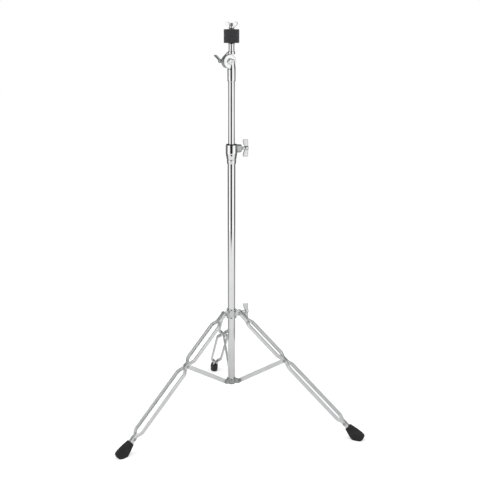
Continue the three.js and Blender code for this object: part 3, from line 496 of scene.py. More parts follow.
# Shapes that repeat or follow a rule
def newShapeTree(name, floats, wholes):
    whole = {"Geometry": "Geometry"}
    given = {**whole, "Float": floats, "Int": wholes, "Material": "Material"}
    return newTree(name, "GeometryNodeTree", given, whole)


def finishTree(tree, given, result, shape):
    whole = addNode(tree, "GeometryNodeRealizeInstances", {"Geometry": shape})[0]
    dressed = addNode(tree, "GeometryNodeSetMaterial", {"Geometry": whole, "Material": given["Material"]})[0]
    feed(tree, result, {"Geometry": dressed})
    return tree


def helixTree():
    tree, given, result = newShapeTree("helix", "Turns Radius Length Wire", "Steps Sides")
    spiral = addNode(tree, "GeometryNodeCurveSpiral", {
        "Resolution": given["Steps"], "Rotations": given["Turns"], "Start Radius": given["Radius"],
        "End Radius": given["Radius"], "Height": given["Length"]})
    circle = addNode(tree, "GeometryNodeCurvePrimitiveCircle", {
        "Resolution": given["Sides"], "Radius": given["Wire"]})
    tube = addNode(tree, "GeometryNodeCurveToMesh", {
        "Curve": spiral[0], "Profile Curve": circle[0], "Fill Caps": True})
    return finishTree(tree, given, result, tube[0])


def toothTree():
    tree, given, result = newShapeTree("toothRing", "Radius Length Side Spread", "Count")
    circle = addNode(tree, "GeometryNodeMeshCircle", {"Vertices": given["Count"], "Radius": given["Radius"]})
    size = addNode(tree, "ShaderNodeCombineXYZ", {
        "X": given["Length"], "Y": given["Side"], "Z": given["Side"]})
    bar = addNode(tree, "GeometryNodeMeshCube", {"Size": size[0]})
    edge = addNode(tree, "GeometryNodeTransform", {"Geometry": bar["Mesh"], "Rotation": (math.pi / 4, 0, 0)})
    wide = addNode(tree, "ShaderNodeCombineXYZ", {"X": 1.0, "Y": given["Spread"], "Z": 1.0})
    tooth = addNode(tree, "GeometryNodeTransform", {"Geometry": edge["Geometry"], "Scale": wide[0]})
    share = calc(tree, "DIVIDE", addNode(tree, "GeometryNodeInputIndex")[0], given["Count"])
    spin = addNode(tree, "ShaderNodeCombineXYZ", {"Z": calc(tree, "MULTIPLY", share, 2 * math.pi)})
    teeth = addNode(tree, "GeometryNodeInstanceOnPoints", {
        "Points": circle["Mesh"], "Instance": tooth["Geometry"], "Rotation": spin[0]})
    return finishTree(tree, given, result, teeth[0])


hairLean = (1.35, 1.35, 3.0)  # radians to either side
hairScale = (0.4, 1.0)


def fuzzTree():
    tree, given, result = newShapeTree("feltFuzz", "Density Length Thickness", "Seed")
    spread = addNode(tree, "GeometryNodeDistributePointsOnFaces", {
        "Mesh": given["Geometry"], "Density": given["Density"], "Seed": given["Seed"]})
    hair = addNode(tree, "GeometryNodeMeshCone", {
        "Vertices": 3, "Radius Top": 0.0, "Radius Bottom": given["Thickness"], "Depth": given["Length"]},
        fill_type="NONE")
    lean = addNode(tree, "FunctionNodeRandomValue", {
        0: [-angle for angle in hairLean], 1: hairLean, "Seed": given["Seed"]}, data_type="FLOAT_VECTOR")
    turnedHair = addNode(tree, "FunctionNodeRotateEuler", {
        "Rotation": spread["Rotation"], "Rotate By": lean[0]}, space="LOCAL")
    length = addNode(tree, "FunctionNodeRandomValue", {
        2: hairScale[0], 3: hairScale[1], "Seed": given["Seed"]}, data_type="FLOAT")
    hairs = addNode(tree, "GeometryNodeInstanceOnPoints", {
        "Points": spread["Points"], "Instance": hair["Mesh"], "Rotation": turnedHair[0], "Scale": length[1]})
    both = tree.nodes.new("GeometryNodeJoinGeometry")
    for shape in (hairs[0], given["Geometry"]):
        tree.links.new(shape, both.inputs[0])
    return finishTree(tree, given, result, both.outputs[0])


helix = helixTree()
toothRing = toothTree()
feltFuzz = fuzzTree()


def grow(name, tree, values, start=None):
    piece = addObject(name, start or bpy.data.meshes.new(name))
    modifier = piece.modifiers.new(tree.name, "NODES")
    modifier.node_group = tree
    for item in tree.interface.items_tree:
        if item.item_type == "SOCKET" and item.in_out == "INPUT" and item.name in values:
            modifier[item.identifier] = values[item.name]
    settle(piece)
    if not piece.data.materials:
        piece.data.materials.append(values["Material"])
    return piece


def makeCoil(name, turns, radius, length, wire, steps, sides, material, where):
    coil = grow(name, helix, {
        "Turns": turns, "Radius": radius * mm, "Length": length * mm, "Wire": wire * mm,
        "Steps": steps, "Sides": sides, "Material": material})
    return place(coil, where)


def standsFor(piece, node, body):
    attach(piece, body)
    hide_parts(node)


# Base tube and its plug
column = {"radius": 11.1, "wall": 1.2, "bottom": 118, "top": 804, "plugFlange": 3, "plugDepth": 14}


def makeColumn(sizes):
    radius, bottom, top = pick(sizes, "radius bottom top")
    bore = radius - sizes["wall"]
    tube = lathe("baseTube", (bore, bottom, radius, top, bore), 0.4, tubeChrome, fine)
    standsFor(tube, "base_tube", "column")
    stem, seat = bore - gap, bottom - gap
    foot, head = seat - sizes["plugFlange"], bottom + sizes["plugDepth"]
    plug = lathe("basePlug", (0, foot, radius, seat, stem, head, 0), [0, 1.4, 0.3, 0.2, 1, 0], blackNylon)
    standsFor(plug, "base_end_plug", "column")


makeColumn(column)

# Tripod
tripod = {
    "azimuths": {"left": 210, "right": 330, "back": 90},
    "slope": 42.5, "hingeRadius": 27, "hingeHeight": 339.5,
    "middle": 189,  # from the hinge to the middle rivet, along the leg
    "braceRadius": 22, "braceHeight": 125.5,  # where the braces hinge on the spider
}
legSlope = math.radians(tripod["slope"])
braceRun = tripod["hingeRadius"] + tripod["middle"] * math.cos(legSlope) - tripod["braceRadius"]
braceRise = tripod["hingeHeight"] - tripod["middle"] * math.sin(legSlope) - tripod["braceHeight"]


def legPlace(azimuth):
    return turnZ(azimuth) @ move(tripod["hingeRadius"], 0, tripod["hingeHeight"]) @ turnY(tripod["slope"])


def bracePlace(azimuth):
    lift = math.degrees(math.atan2(braceRise, braceRun))
    return turnZ(azimuth) @ move(tripod["braceRadius"], 0, tripod["braceHeight"]) @ turnY(-lift)


strip = {
    "width": 10.5, "depth": 4.5, "wall": 1.2, "end": 6, "rim": 0.35, "corner": 0.5, "footCorner": 2,
    "pinch": 3, "spread": 14, "bend": 20, "bendSteps": 12, "straightSteps": 6,
    # along the leg: the top pinch, half the middle one, the foot's pinch, its rivet and its end
    "topPinch": 28, "middlePinch": 7, "footPinch": 50, "footRivet": 438, "bottom": 479.7,
}


def channelSection(width, depth, wall):
    half = width / 2
    inside, floor = half - wall, depth - wall
    rim, corner, back = strip["rim"], strip["corner"], wall * 1.25
    corners = [(-half, 0), (-inside, 0), (-inside, floor), (inside, floor),
               (inside, 0), (half, 0), (half, depth), (-half, depth)]
    return fillet(corners, [rim, rim, corner, corner, rim, rim, back, back], closed=True)


def stripPath(sizes):
    # places along the leg and beside its middle
    pinch, spread, bend, bottom = pick(sizes, "pinch spread bend bottom")
    inner, outer = tripod["middle"] - sizes["middlePinch"], tripod["middle"] + sizes["middlePinch"]
    foot = bottom - sizes["footPinch"]
    levels = [(-sizes["end"], pinch), (sizes["topPinch"], pinch), (sizes["topPinch"] + bend, spread),
              (inner - bend, spread), (inner, pinch), (outer, pinch), (outer + bend, spread),
              (foot - bend, spread), (foot, pinch), (bottom, pinch)]
    path = [Vector(levels[0])]
    for (x, y), (nextX, nextY) in zip(levels, levels[1:]):
        steps = sizes["straightSteps"] if y == nextY else sizes["bendSteps"]
        for step in range(1, steps + 1):
            share = step / steps
            eased = (1 - math.cos(math.pi * share)) / 2
            path.append(Vector((x + (nextX - x) * share, y + (nextY - y) * eased)))
    return path


def makeStrip(name, side, sizes, where):
    width, depth, end, bottom = pick(sizes, "width depth end bottom")
    path = stripPath(sizes)
    stations = []
    for item, spot in enumerate(path):
        along = (path[min(item + 1, len(path) - 1)] - path[max(item - 1, 0)]).normalized()
        stations.append(((spot.x, side * spot.y, 0), (0, 0, -side), (-along.y, side * along.x, 0)))
    bar = swept(name, channelSection(width, depth, sizes["wall"]), stations, legChrome)
    half = width / 2
    foot = [(0, -half), (bottom, -half), (bottom, half), (0, half)]
    outline = arc((half - end, 0), half, 90, 270) + fillet(foot, sizes["footCorner"])
    reach = sizes["spread"] + 2 * depth
    trimTo(bar, plate("trim", outline, -reach, reach, plateUp))
    return place(bar, where)


rivet = {"shank": 2.5, "head": 4.5, "rise": 1.9, "crown": 0.93, "edge": 0.3, "dome": 1.7}


def rivetHead(seat):
    shank, head, rise, crown = pick(rivet, "shank head rise crown")
    corners = [(shank, seat), (head, seat), (head * crown, seat + rise), (0, seat + rise)]
    return fillet(corners, [0, rivet["edge"], rivet["dome"], 0], steps=6)


def makeRivet(name, half, where, spacer=0):
    shank, head = rivet["shank"], rivet["head"]
    upper = rivetHead(half + gap)
    lower = [Vector((spot.x, -spot.y)) for spot in reversed(upper)]
    waist = [Vector(spot) for spot in ((shank, -spacer), (head, -spacer), (head, spacer), (shank, spacer))]
    return turned(name, lower + (waist if spacer else []) + upper, rivetSteel, where @ alongY, 48)


def makeHalfRivet(name, side, where):
    start = strip["pinch"]
    profile = [Vector((0, start)), Vector((rivet["shank"], start))] + rivetHead(start + strip["depth"] + gap)
    return turned(name, profile, rivetSteel, where @ facing(side) @ alongY, 48)


boot = {
    "top": 450, "length": 54.8, "height": 39, "width": 22.3, "power": 0.67, "rings": 60, "sides": 96,
    "lip": 0.04, "lipLength": 0.02,  # shares of the section and of the length
    "edge": 0.6, "edgeAbove": 40, "sharp": 50,  # the bevel, the angle that gets it, the angle that stays sharp
    "pocketWidth": 7.8, "pocketHeight": 5.55, "pocketDepth": 30, "pocketCorner": 1.2,
    # from the mouth to the sole: shares of the length, the height and the width
    "shares": [(0, 0.5, 0.78), (0.03, 0.54, 0.84), (0.3, 0.75, 0.93), (0.58, 0.93, 0.98), (0.82, 1, 1),
               (0.94, 0.87, 0.92), (1, 0.5, 0.6)],
}


def curveThrough(rows, share):
    # a smooth value between rows of (position, values...), by Catmull and Rom's rule
    item = max(spot for spot in range(len(rows) - 1) if rows[spot][0] <= share)
    around = [rows[min(max(item + step, 0), len(rows) - 1)] for step in (-1, 0, 1, 2)]
    t = (share - around[1][0]) / (around[2][0] - around[1][0])
    values = []
    for a, b, c, d in list(zip(*around))[1:]:
        bend = 2 * a - 5 * b + 4 * c - d + t * (3 * (b - c) + d - a)
        values.append(b + 0.5 * t * (c - a + t * bend))
    return values


def makeBoot(name, sizes, azimuth):
    top, depth = sizes["top"], sizes["pocketDepth"]
    stations = []
    for step in range(sizes["rings"] + 1):
        share = step / sizes["rings"] * 0.999
        high, wide = curveThrough(sizes["shares"], share)
        lip = 1 - sizes["lip"] + sizes["lip"] * min(share / sizes["lipLength"], 1)
        stations.append(((top + sizes["length"] * share, 0, 0), (0, wide * lip * sizes["width"] / 2, 0),
                         (0, 0, high * lip * sizes["height"] / 2)))
    body = swept(name, squareOval(sizes["power"], sizes["sides"]), stations, bootRubber)
    mouth = rectangle(sizes["pocketWidth"], sizes["pocketHeight"])
    pocket = fillet(mouth, sizes["pocketCorner"], closed=True)
    cut(body, plate("pocket", pocket, top - 3, top + depth, plateAcross))
    place(body, legPlace(azimuth))
    cut(body, plate("ground", rectangle(beyond, beyond), -beyond, 0))
    bevel = body.modifiers.new("edge", "BEVEL")
    bevel.width = sizes["edge"] * mm
    bevel.segments = 3
    bevel.limit_method = "ANGLE"
    bevel.angle_limit = math.radians(sizes["edgeAbove"])
    settle(body)
    shade(body, sizes["sharp"])
    return body


brace = {"width": 12.5, "thickness": 5, "wall": 1.4}


def makeBrace(name, sizes, azimuth):
    length = math.hypot(braceRun, braceRise)
    half, thickness = sizes["width"] / 2, sizes["thickness"]
    section = channelSection(sizes["width"], thickness, sizes["wall"])
    stations = [((along, -thickness / 2, 0), (0, 0, -1), (0, 1, 0)) for along in (-half, length + half)]
    bar = swept(name, section, stations, legChrome)
    trimTo(bar, plate("trim", capsule((0, 0), (length, 0), half), -half, half, plateUp))
    return place(bar, bracePlace(azimuth))


def makeTripod():
    outer = strip["pinch"] + strip["depth"]
    pinHalf = brace["thickness"] / 2 + gap + spider["ear"]
    for side, azimuth in tripod["azimuths"].items():
        body = side + "_leg"
        where = legPlace(azimuth)
        middle = where @ move(tripod["middle"], 0, 0)
        for letter, way in (("a", 1), ("b", -1)):
            bar = makeStrip(side + "Strip" + letter.upper(), way, strip, where)
            standsFor(bar, side + "_leg_strip_" + letter, body)
            half = makeHalfRivet(side + "MiddleRivet" + letter.upper(), way, middle)
            standsFor(half, side + "_leg_middle_rivet_" + letter, body)
        top = makeRivet(side + "TopRivet", outer, where)
        standsFor(top, side + "_leg_top_rivet", body)
        end = where @ move(strip["footRivet"], 0, 0)
        foot = makeRivet(side + "FootRivet", outer, end, strip["pinch"] - gap)
        standsFor(foot, side + "_leg_foot_rivet", body)
        standsFor(makeBoot(side + "Boot", boot, azimuth), side + "_boot", body)
        standsFor(makeBrace(side + "Brace", brace, azimuth), side + "_brace", side + "_brace")
        pin = makeRivet(side + "BraceRivet", pinHalf, bracePlace(azimuth))
        standsFor(pin, side + "_brace_rivet", "column")


spider = {"wall": 3.2, "bottom": 118, "height": 13, "ear": 2.2, "earRadius": 6.6, "skin": (0.36, 10)}


def makeSpider(sizes):
    low, ear = sizes["bottom"], sizes["ear"]
    top = low + sizes["height"]
    bore = column["radius"] + gap
    outer = bore + sizes["wall"]
    ring = lathe("spiderCasting", (bore, low, outer, top, bore), 0.9, castSatin)
    root = (bore + outer) / 2
    hinge = (tripod["braceRadius"], tripod["braceHeight"])
    outline = [(root, low)] + arc(hinge, sizes["earRadius"], -90, 90) + [(root, top)]
    inner = brace["thickness"] / 2 + gap
    for azimuth in tripod["azimuths"].values():
        for near in (inner, -inner - ear):
            fuse(ring, plate("ear", outline, -near - ear, -near, turnZ(azimuth) @ plateUp))
    cut(ring, drill(bore, low - 2, top + 2))
    castSkin(ring, *sizes["skin"])
    standsFor(ring, "spider", "column")


makeSpider(spider)
makeTripod()
print("stage: tripod made")

# Wing bolts
wing = {
    "span": 50, "root": 9.5, "tip": 16.5, "round": 3.4, "thickness": 4.2,
    "power": 0.62, "rings": 60, "sides": 32, "sharp": 60,
    # how soon and how roundly a wing flares, and how its thickness runs out to the tip
    "flare": (1.35, 0.8), "taper": (1.12, 0.24, 0.45),
    "neck": 4.4, "hub": 5.8, "bolt": 3, "pitch": 1, "threadWire": 0.36, "skin": (0.4, 9),
    "core": 0.86, "thread": 0.88,  # shares of the bolt's radius
}


def wingBlade(sizes, end):
    # straight along its outer edge and flared back towards its tips
    root, tip, rounding, rings = pick(sizes, "root tip round rings")
    flare, curve = sizes["flare"]
    thickest, taper, worn = sizes["taper"]
    stations = []
    half = sizes["span"] / 2
    for step in range(rings + 1):
        height = -half + 2 * half * step / rings
        share = abs(height) / half
        back = root + (tip - root) * min(share * flare, 1) ** curve
        corner = max(share - 1 + rounding / half, 0) / (rounding / half)
        trim = rounding * (1 - math.sqrt(max(1 - corner ** 2, 0)))
        width = max(back - 2 * trim, 2) / 2
        thick = sizes["thickness"] / 2 * (thickest - taper * share) * (1 - worn * corner ** 3)
        stations.append(((end - back / 2, 0, height), (width, 0, 0), (0, thick, 0)))
    return swept("blade", squareOval(sizes["power"], sizes["sides"]), stations, None, sharp=sizes["sharp"])


def wingHead(name, sizes, seat, neckLength):
    neck, hub = sizes["neck"], sizes["hub"]
    end = seat + neckLength + sizes["tip"]
    hubStart = end - sizes["root"]
    edge = hub / 4
    corners = [(0, seat), (neck + edge, seat), (neck + edge, seat + edge), (neck, seat + 2 * edge),
               (neck, hubStart - edge), (hub, hubStart + edge), (hub, end), (0, end)]
    head = turned(name, fillet(corners, [0, 0.4, 0.4, 1.5, 1.5, 1.5, 2.2, 0]), wingChrome, alongX)
    fuse(head, wingBlade(sizes, end))
    return head


def makeWingBolt(name, start, seat, neckLength, where):
    bolt, pitch, wire = pick(wing, "bolt pitch threadWire")
    core, ring = bolt * wing["core"], bolt * wing["thread"]
    head = wingHead(name, wing, seat, neckLength)
    castSkin(head, *wing["skin"])
    steps = (0, start, core, seat + 1, 0)
    shaft = lathe(name + "Shaft", steps, [0, 0.6, 0, 0], wingChrome, 48, alongX)
    length = seat - start - 2
    along = alongX @ move(0, 0, start + 1)
    thread = makeCoil(name + "Thread", length / pitch, ring, length, wire, 24, 4, wingChrome, along)
    joinInto(head, [shaft, thread])
    return place(head, where)


# Height clamp
clamp = {
    "bottom": 778, "top": 832, "head": 24, "band": 12, "headRadius": 16.4, "bandRadius": 13.4,
    "bossHeight": 23, "bossWidth": 15, "bossReach": 30, "azimuth": 15, "neckLength": 4.5,
    "slotWidth": 5.8, "slotDepth": 23, "slotAzimuth": 261, "footRadius": 12.6, "skin": (0.42, 8),
    "dimple": 2.1, "dimpleBelow": 5.6, "dimpleDepth": 3,
    "screwSink": 0.9, "screwSocket": 0.95, "screwPlay": 0.12, "socketDepth": 1,
    "footBevel": 0.4, "groove": 1.1, "grooveDepth": 1.2,
    "bossShares": [(5, 1.0), (1.2, 0.96), (0, 0.82)],  # behind its face, and the share of its section there
    "bushingBore": 9.85, "bushingRadius": 13.05, "flangeRadius": 15.2, "flange": 1.6, "slit": 1.5,
}
boltPlace = turnZ(clamp["azimuth"]) @ move(0, 0, clamp["top"] - clamp["bossHeight"] / 2)
slotPlace = turnZ(clamp["slotAzimuth"])
slotLow = clamp["top"] - clamp["slotDepth"]
clampBore = clamp["bushingRadius"] + gap


def slotOutline(half, top):
    return arc((0, slotLow + clamp["slotWidth"] / 2), half, 180, 360, 12) + [(half, top), (-half, top)]


def clampProfile(sizes):
    bottom, top, foot, band, head = pick(sizes, "bottom top footRadius bandRadius headRadius")
    groove = sizes["groove"]
    low = column["radius"] + gap
    bandTop = bottom + sizes["band"]
    corners = [
        (low, bottom), (foot - sizes["footBevel"], bottom), (foot, bottom + (head - band) / 2),
        (band, bandTop - groove), (band - sizes["grooveDepth"], bandTop), (band, bandTop + groove),
        (head, top - sizes["head"]), (head, top), (clampBore, top),
        (clampBore, column["top"]), (low, column["top"]),
    ]
    return fillet(corners, [0.3, 0.6, 1, 0.3, 0.2, 0.3, 6, 1.6, 0.5, 0.1, 0.1], closed=True)


def makeClamp(sizes):
    head, reach, dimple, depth = pick(sizes, "headRadius bossReach dimple dimpleDepth")
    body = turned("heightClamp", clampProfile(sizes), castChrome, segments=fine, closed=True)
    half, tall = sizes["bossWidth"] / 2, sizes["bossHeight"] / 2
    height = sizes["top"] - tall
    spots = [(clampBore + 1.2, 1.06)] + [(reach - back, share) for back, share in sizes["bossShares"]]
    stations = [((along, 0, height), (0, share, 0), (0, 0, share)) for along, share in spots]
    section = capsule((0, half - tall), (0, tall - half), half)
    fuse(body, swept("boss", section, stations, None, turnZ(sizes["azimuth"])))
    dimplePlace = slotPlace @ move(0, 0, slotLow - sizes["dimpleBelow"]) @ alongX
    opening = slotOutline(sizes["slotWidth"] / 2, sizes["top"] + 3)
    cut(body, drill(wing["bolt"] + gap, 0, reach + 5, boltPlace @ alongX, 32),
        plate("slot", opening, 5, 30, slotPlace @ plateAcross),
        drill(dimple, head - depth, head + 2, dimplePlace, 32))
    castSkin(body, *sizes["skin"])
    body.data.materials.append(castSatin)
    for face in body.data.polygons:
        if face.center.xy.length > (head + 0.25) * mm:
            face.material_index = 1
    standsFor(body, "height_clamp", "column")
    makeDimpleShadeScrew(sizes, dimplePlace)


# A dark screw-shaped plug in the dimple below the slot: painted shade, a black piece standing in for the shade
# inside the dimple
def makeDimpleShadeScrew(sizes, where):
    head, socket = sizes["headRadius"], sizes["screwSocket"]
    outer = head - sizes["screwSink"]
    inner = head - sizes["dimpleDepth"] + gap
    radius = sizes["dimple"] - sizes["screwPlay"]
    floor = outer - sizes["socketDepth"]
    steps = (0, inner, radius, outer, socket, floor, 0)
    screw = lathe("dimpleShadeScrew", steps, [0, 0.2, 0.35, 0.05, 0.05, 0], dimpleShadeBlack, 36, where)
    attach(screw, "column")


def makeBushing(sizes):
    bore, radius, flange = pick(sizes, "bushingBore bushingRadius flangeRadius")
    foot, seat = column["top"] + gap, sizes["top"] + gap
    top = seat + sizes["flange"]
    steps = (bore, foot, radius, seat, flange, top, bore)
    bushing = lathe("clampBushing", steps, [0.3, 0.3, 0.1, 0.3, 0.9, 0.6], blackNylon)
    key = slotOutline(sizes["slotWidth"] / 2 - gap, sizes["top"])
    fuse(bushing, plate("key", key, (bore + radius) / 2, radius + 0.5, slotPlace @ plateAcross))
    half = sizes["slit"] / 2
    slit = [(-half, 780), (half, 780), (half, 850), (-half, 850)]
    cut(bushing, plate("slit", slit, 0, 30, turnZ(sizes["azimuth"] + 180) @ plateAcross))
    shade(bushing, 40)
    standsFor(bushing, "clamp_bushing", "column")


makeClamp(clamp)
makeBushing(clamp)
clampBolt = makeWingBolt("clampWingBolt", clampBore, clamp["bossReach"] + gap, clamp["neckLength"], boltPlace)
standsFor(clampBolt, "clamp_wing_bolt", "clamp_bolt")

# Leg collar
collar = {
    "bottom": 322, "height": 27, "wall": 3.6, "band": 2.2, "lugHeight": 20, "lugRadius": 6.2,
    "bossRadius": 8, "bossReach": 29, "azimuth": 15, "neckLength": 8, "play": 0.35, "skin": (0.38, 10),
}


def makeCollar(sizes):
    low, band, boss, reach = pick(sizes, "bottom band bossRadius bossReach")
    bore = column["radius"] + sizes["play"]
    outer = bore + sizes["wall"]
    top = low + sizes["height"]
    waist = outer - band / 3
    corners = [(bore, low), (outer, low), (outer, low + band), (waist, low + band + 1),
               (waist, top - band - 1), (outer, top - band), (outer, top), (bore, top)]
    profile = fillet(corners, [0.4, 1, 0.6, 0.6, 0.6, 0.6, 1, 0.4], closed=True)
    body = turned("legCollar", profile, wingChrome, segments=fine, closed=True)
    root = (bore + waist) / 2
    middle, tall = (low + top) / 2, sizes["lugHeight"] / 2
    hinge = (tripod["hingeRadius"], tripod["hingeHeight"])
    outline = [(root, middle - tall)] + arc(hinge, sizes["lugRadius"], -90, 90) + [(root, middle + tall)]
    half = strip["pinch"] - gap
    for azimuth in tripod["azimuths"].values():
        fuse(body, plate("lug", outline, -half, half, turnZ(azimuth) @ plateUp))
    where = turnZ(sizes["azimuth"]) @ move(0, 0, middle)
    corners = [(0, root), (boss * 1.08, root), (boss, reach), (0, reach)]
    fuse(body, turned("boss", fillet(corners, [0, 0, 1.6, 0]), None, where @ alongX, 64))
    cut(body, drill(bore, low - 2, top + 2), drill(wing["bolt"] + gap, 0, reach + 5, where @ alongX, 32))
    castSkin(body, *sizes["skin"])
    standsFor(body, "leg_collar", "collar")
    bolt = makeWingBolt("collarWingBolt", column["radius"] + gap, reach + gap, sizes["neckLength"], where)
    standsFor(bolt, "collar_wing_bolt", "collar_bolt")


makeCollar(collar)
print("stage: clamp and collar made")

# Upper tube and its guide
mast = {
    "radius": 9.5, "wall": 1.2, "bottom": 450, "top": 1037,
    "guideRadius": 9.725, "guideFlange": 3, "guideDepth": 14,
}


def makeMast(sizes):
    radius, wall, bottom, top = pick(sizes, "radius wall bottom top")
    hollow = radius - wall
    tube = lathe("upperTube", (hollow, bottom, radius, top, hollow), 0.4, tubeChrome, fine)
    standsFor(tube, "upper_tube", "mast")
    outer, stem, seat = sizes["guideRadius"], hollow - gap, bottom - gap
    bore = stem - wall
    foot, head = seat - sizes["guideFlange"], bottom + sizes["guideDepth"]
    guide = lathe("tubeGuide", (bore, foot, outer, seat, stem, head, bore), 0.35, blackNylon)
    standsFor(guide, "tube_guide", "guide")


makeMast(mast)

# Tilter
tilter = {
    "bottom": 1007, "pivotAbove": 53.6, "offset": 9, "azimuth": 110, "tubeReach": 30, "wall": 1.8,
    "radius": 19, "thickness": 7, "toothDepth": 1.3, "teeth": 24, "toothWidth": 6, "toothSpread": 1.45,
    "hub": 8, "hubRise": 1.2, "bolt": 3.5, "headRadius": 7, "headRise": 3.4, "nutNeck": 26, "nutTurn": 49,
    "springRadius": 6, "springWire": 1.1, "springTurns": 2.5,
    "socketRadius": 9.8, "socketHeight": 8, "webInset": 0.6, "skin": (0.42, 4),
    "foot": (2, 2.6, 12), "footLine": 0.3,  # heights of the line round the sleeve's foot, and its depth
}
pivotHeight = tilter["bottom"] + tilter["pivotAbove"]
tilterPlace = move(0, 0, pivotHeight) @ turnZ(tilter["azimuth"])
discRoot = gap / 2 + tilter["toothDepth"]
discBack = discRoot + tilter["thickness"]
springDepth = discRoot + tilter["thickness"] / 2
nutSeat = discBack + tilter["hubRise"] + gap
nutHubMiddle = nutSeat + tilter["nutNeck"] + wing["tip"] - wing["root"] / 2


# The discs face away from each other: 1 is the arm's and -1 the base's
def discPlace(way):
    return move(0, tilter["offset"], 0) @ facing(way) @ alongX


def toothedDisc(way, sizes):
    radius, hub = sizes["radius"], sizes["hub"]
    face = discBack + sizes["hubRise"]
    corners = [(0, discRoot), (radius, discRoot), (radius, discBack),
               (hub + 1.2, discBack), (hub, face), (0, face)]
    return turned("disc", fillet(corners, [0, 0.4, 1.6, 0.5, 0.4, 0]), None, discPlace(way), fine)


def addTeeth(body, way, sizes):
    width, count = sizes["toothWidth"], sizes["teeth"]
    step = 0 if way > 0 else 180 / count
    ring = sizes["radius"] - sizes["hubRise"] - width / 2
    teeth = grow(body.name + "Teeth", toothRing, {
        "Count": count, "Radius": ring * mm, "Length": width * mm,
        "Side": sizes["toothDepth"] * math.sqrt(2) * mm, "Spread": sizes["toothSpread"],
        "Material": castChrome})
    teeth.data.shade_flat()
    place(teeth, discPlace(way) @ move(0, 0, discRoot) @ turnZ(step))
    joinInto(body, [teeth])


def finishDisc(body, way, sizes, node, rider):
    reach = 2 * discBack
    cut(body, drill(sizes["bolt"] + gap, -reach, reach, discPlace(1), 48),
        drill(sizes["springRadius"] + sizes["springWire"], -springDepth, springDepth, discPlace(1), 64))
    castSkin(body, *sizes["skin"])
    addTeeth(body, way, sizes)
    place(body, tilterPlace)
    standsFor(body, node, rider)


def makeTilterBase(sizes):
    radius, offset = sizes["radius"], sizes["offset"]
    bore = mast["radius"] + gap
    outer = bore + sizes["wall"]
    bottom = -sizes["pivotAbove"]
    lap = -radius - 2 * gap
    rim, line, rise = sizes["foot"]
    corners = [(0, bottom), (outer, bottom), (outer, bottom + rim), (outer - sizes["footLine"], bottom + line),
               (outer, bottom + rise), (outer, lap), (outer * 0.9, -radius * 0.5),
               (outer * 0.8, radius * 0.35), (0, radius * 0.35)]
    profile = fillet(corners, [0, 0.7, 0.3, 0.3, 8, 0.8, 6, 3, 0])
    body = turned("tilterBase", profile, castChrome, segments=fine)
    farSide = [(-60, lap), (60, lap), (60, 60), (-60, 60)]
    cut(body, plate("farSide", farSide, -discRoot - 0.2, 60, plateAcross))
    cheek = [(-outer * 0.5, lap - outer / 2), (outer * 0.5, lap - outer / 2), (outer, lap),
             (offset + radius * 0.94, -radius * 0.34), (offset, 0), (-outer * 0.82, radius * 0.3)]
    back = -discBack + sizes["webInset"]
    fuse(body, plate("cheek", cheek, back, -discRoot - 0.1, plateAcross), toothedDisc(-1, sizes))
    cut(body, drill(bore, bottom - 2, bottom + sizes["tubeReach"] + gap))
    finishDisc(body, -1, sizes, "tilter_base", "mast")


def makeTilterArm(sizes):
    radius, offset, wide, height = pick(sizes, "radius offset socketRadius socketHeight")
    low = radius + gap
    top = low + height
    body = lathe("tilterArm", (0, low, wide, top, 0), [0, 1, 1.2, 0], castChrome)
    seat, inset = top - 1.3, wide * 0.9
    web = [(-inset, seat), (-inset, 0), (offset + radius * 0.7, radius * 0.7), (inset, seat)]
    front, back = discRoot + sizes["webInset"], discBack - sizes["webInset"]
    fuse(body, plate("web", web, front, back, plateAcross), toothedDisc(1, sizes))
    cut(body, drill(post["radius"] + gap, low + height / 2 - gap, top + 3))
    finishDisc(body, 1, sizes, "tilter_arm", "cymbal_holder")


def makeTilterBolt(sizes):
    head, bolt, wire = pick(sizes, "headRadius bolt springWire")
    seat = -nutSeat
    face = seat - sizes["headRise"]
    inset = head * 0.45
    corners = [(0, face + 1), (inset - 0.5, face + 0.9), (inset + 0.4, face), (head * 0.8, face + 0.2),
               (head, face + 2), (head, seat), (bolt, seat), (bolt, nutHubMiddle), (0, nutHubMiddle)]
    where = tilterPlace @ discPlace(1)
    body = turned("tilterBolt", fillet(corners, [0, 0.4, 0.5, 1, 1.2, 0.3, 0, 0.7, 0]), castChrome, where, 64)
    standsFor(body, "tilter_bolt", "mast")
    length = 2 * springDepth - 2 * gap - wire
    coil = makeCoil("tilterSpring", sizes["springTurns"], sizes["springRadius"], length, wire / 2, 48, 12,
                    rivetSteel, where @ move(0, 0, -length / 2))
    coil.data.shade_smooth()
    standsFor(coil, "tilter_spring", "mast")


def makeTilterNut(sizes):
    nut = wingHead("tilterWingNut", wing, nutSeat, sizes["nutNeck"])
    cut(nut, drill(sizes["bolt"] + gap, 0, nutHubMiddle + gap, alongX, 48))
    castSkin(nut, *wing["skin"])
    place(nut, tilterPlace @ move(0, sizes["offset"], 0) @ turnX(-sizes["nutTurn"]))
    standsFor(nut, "tilter_wing_nut", "tilter_nut")


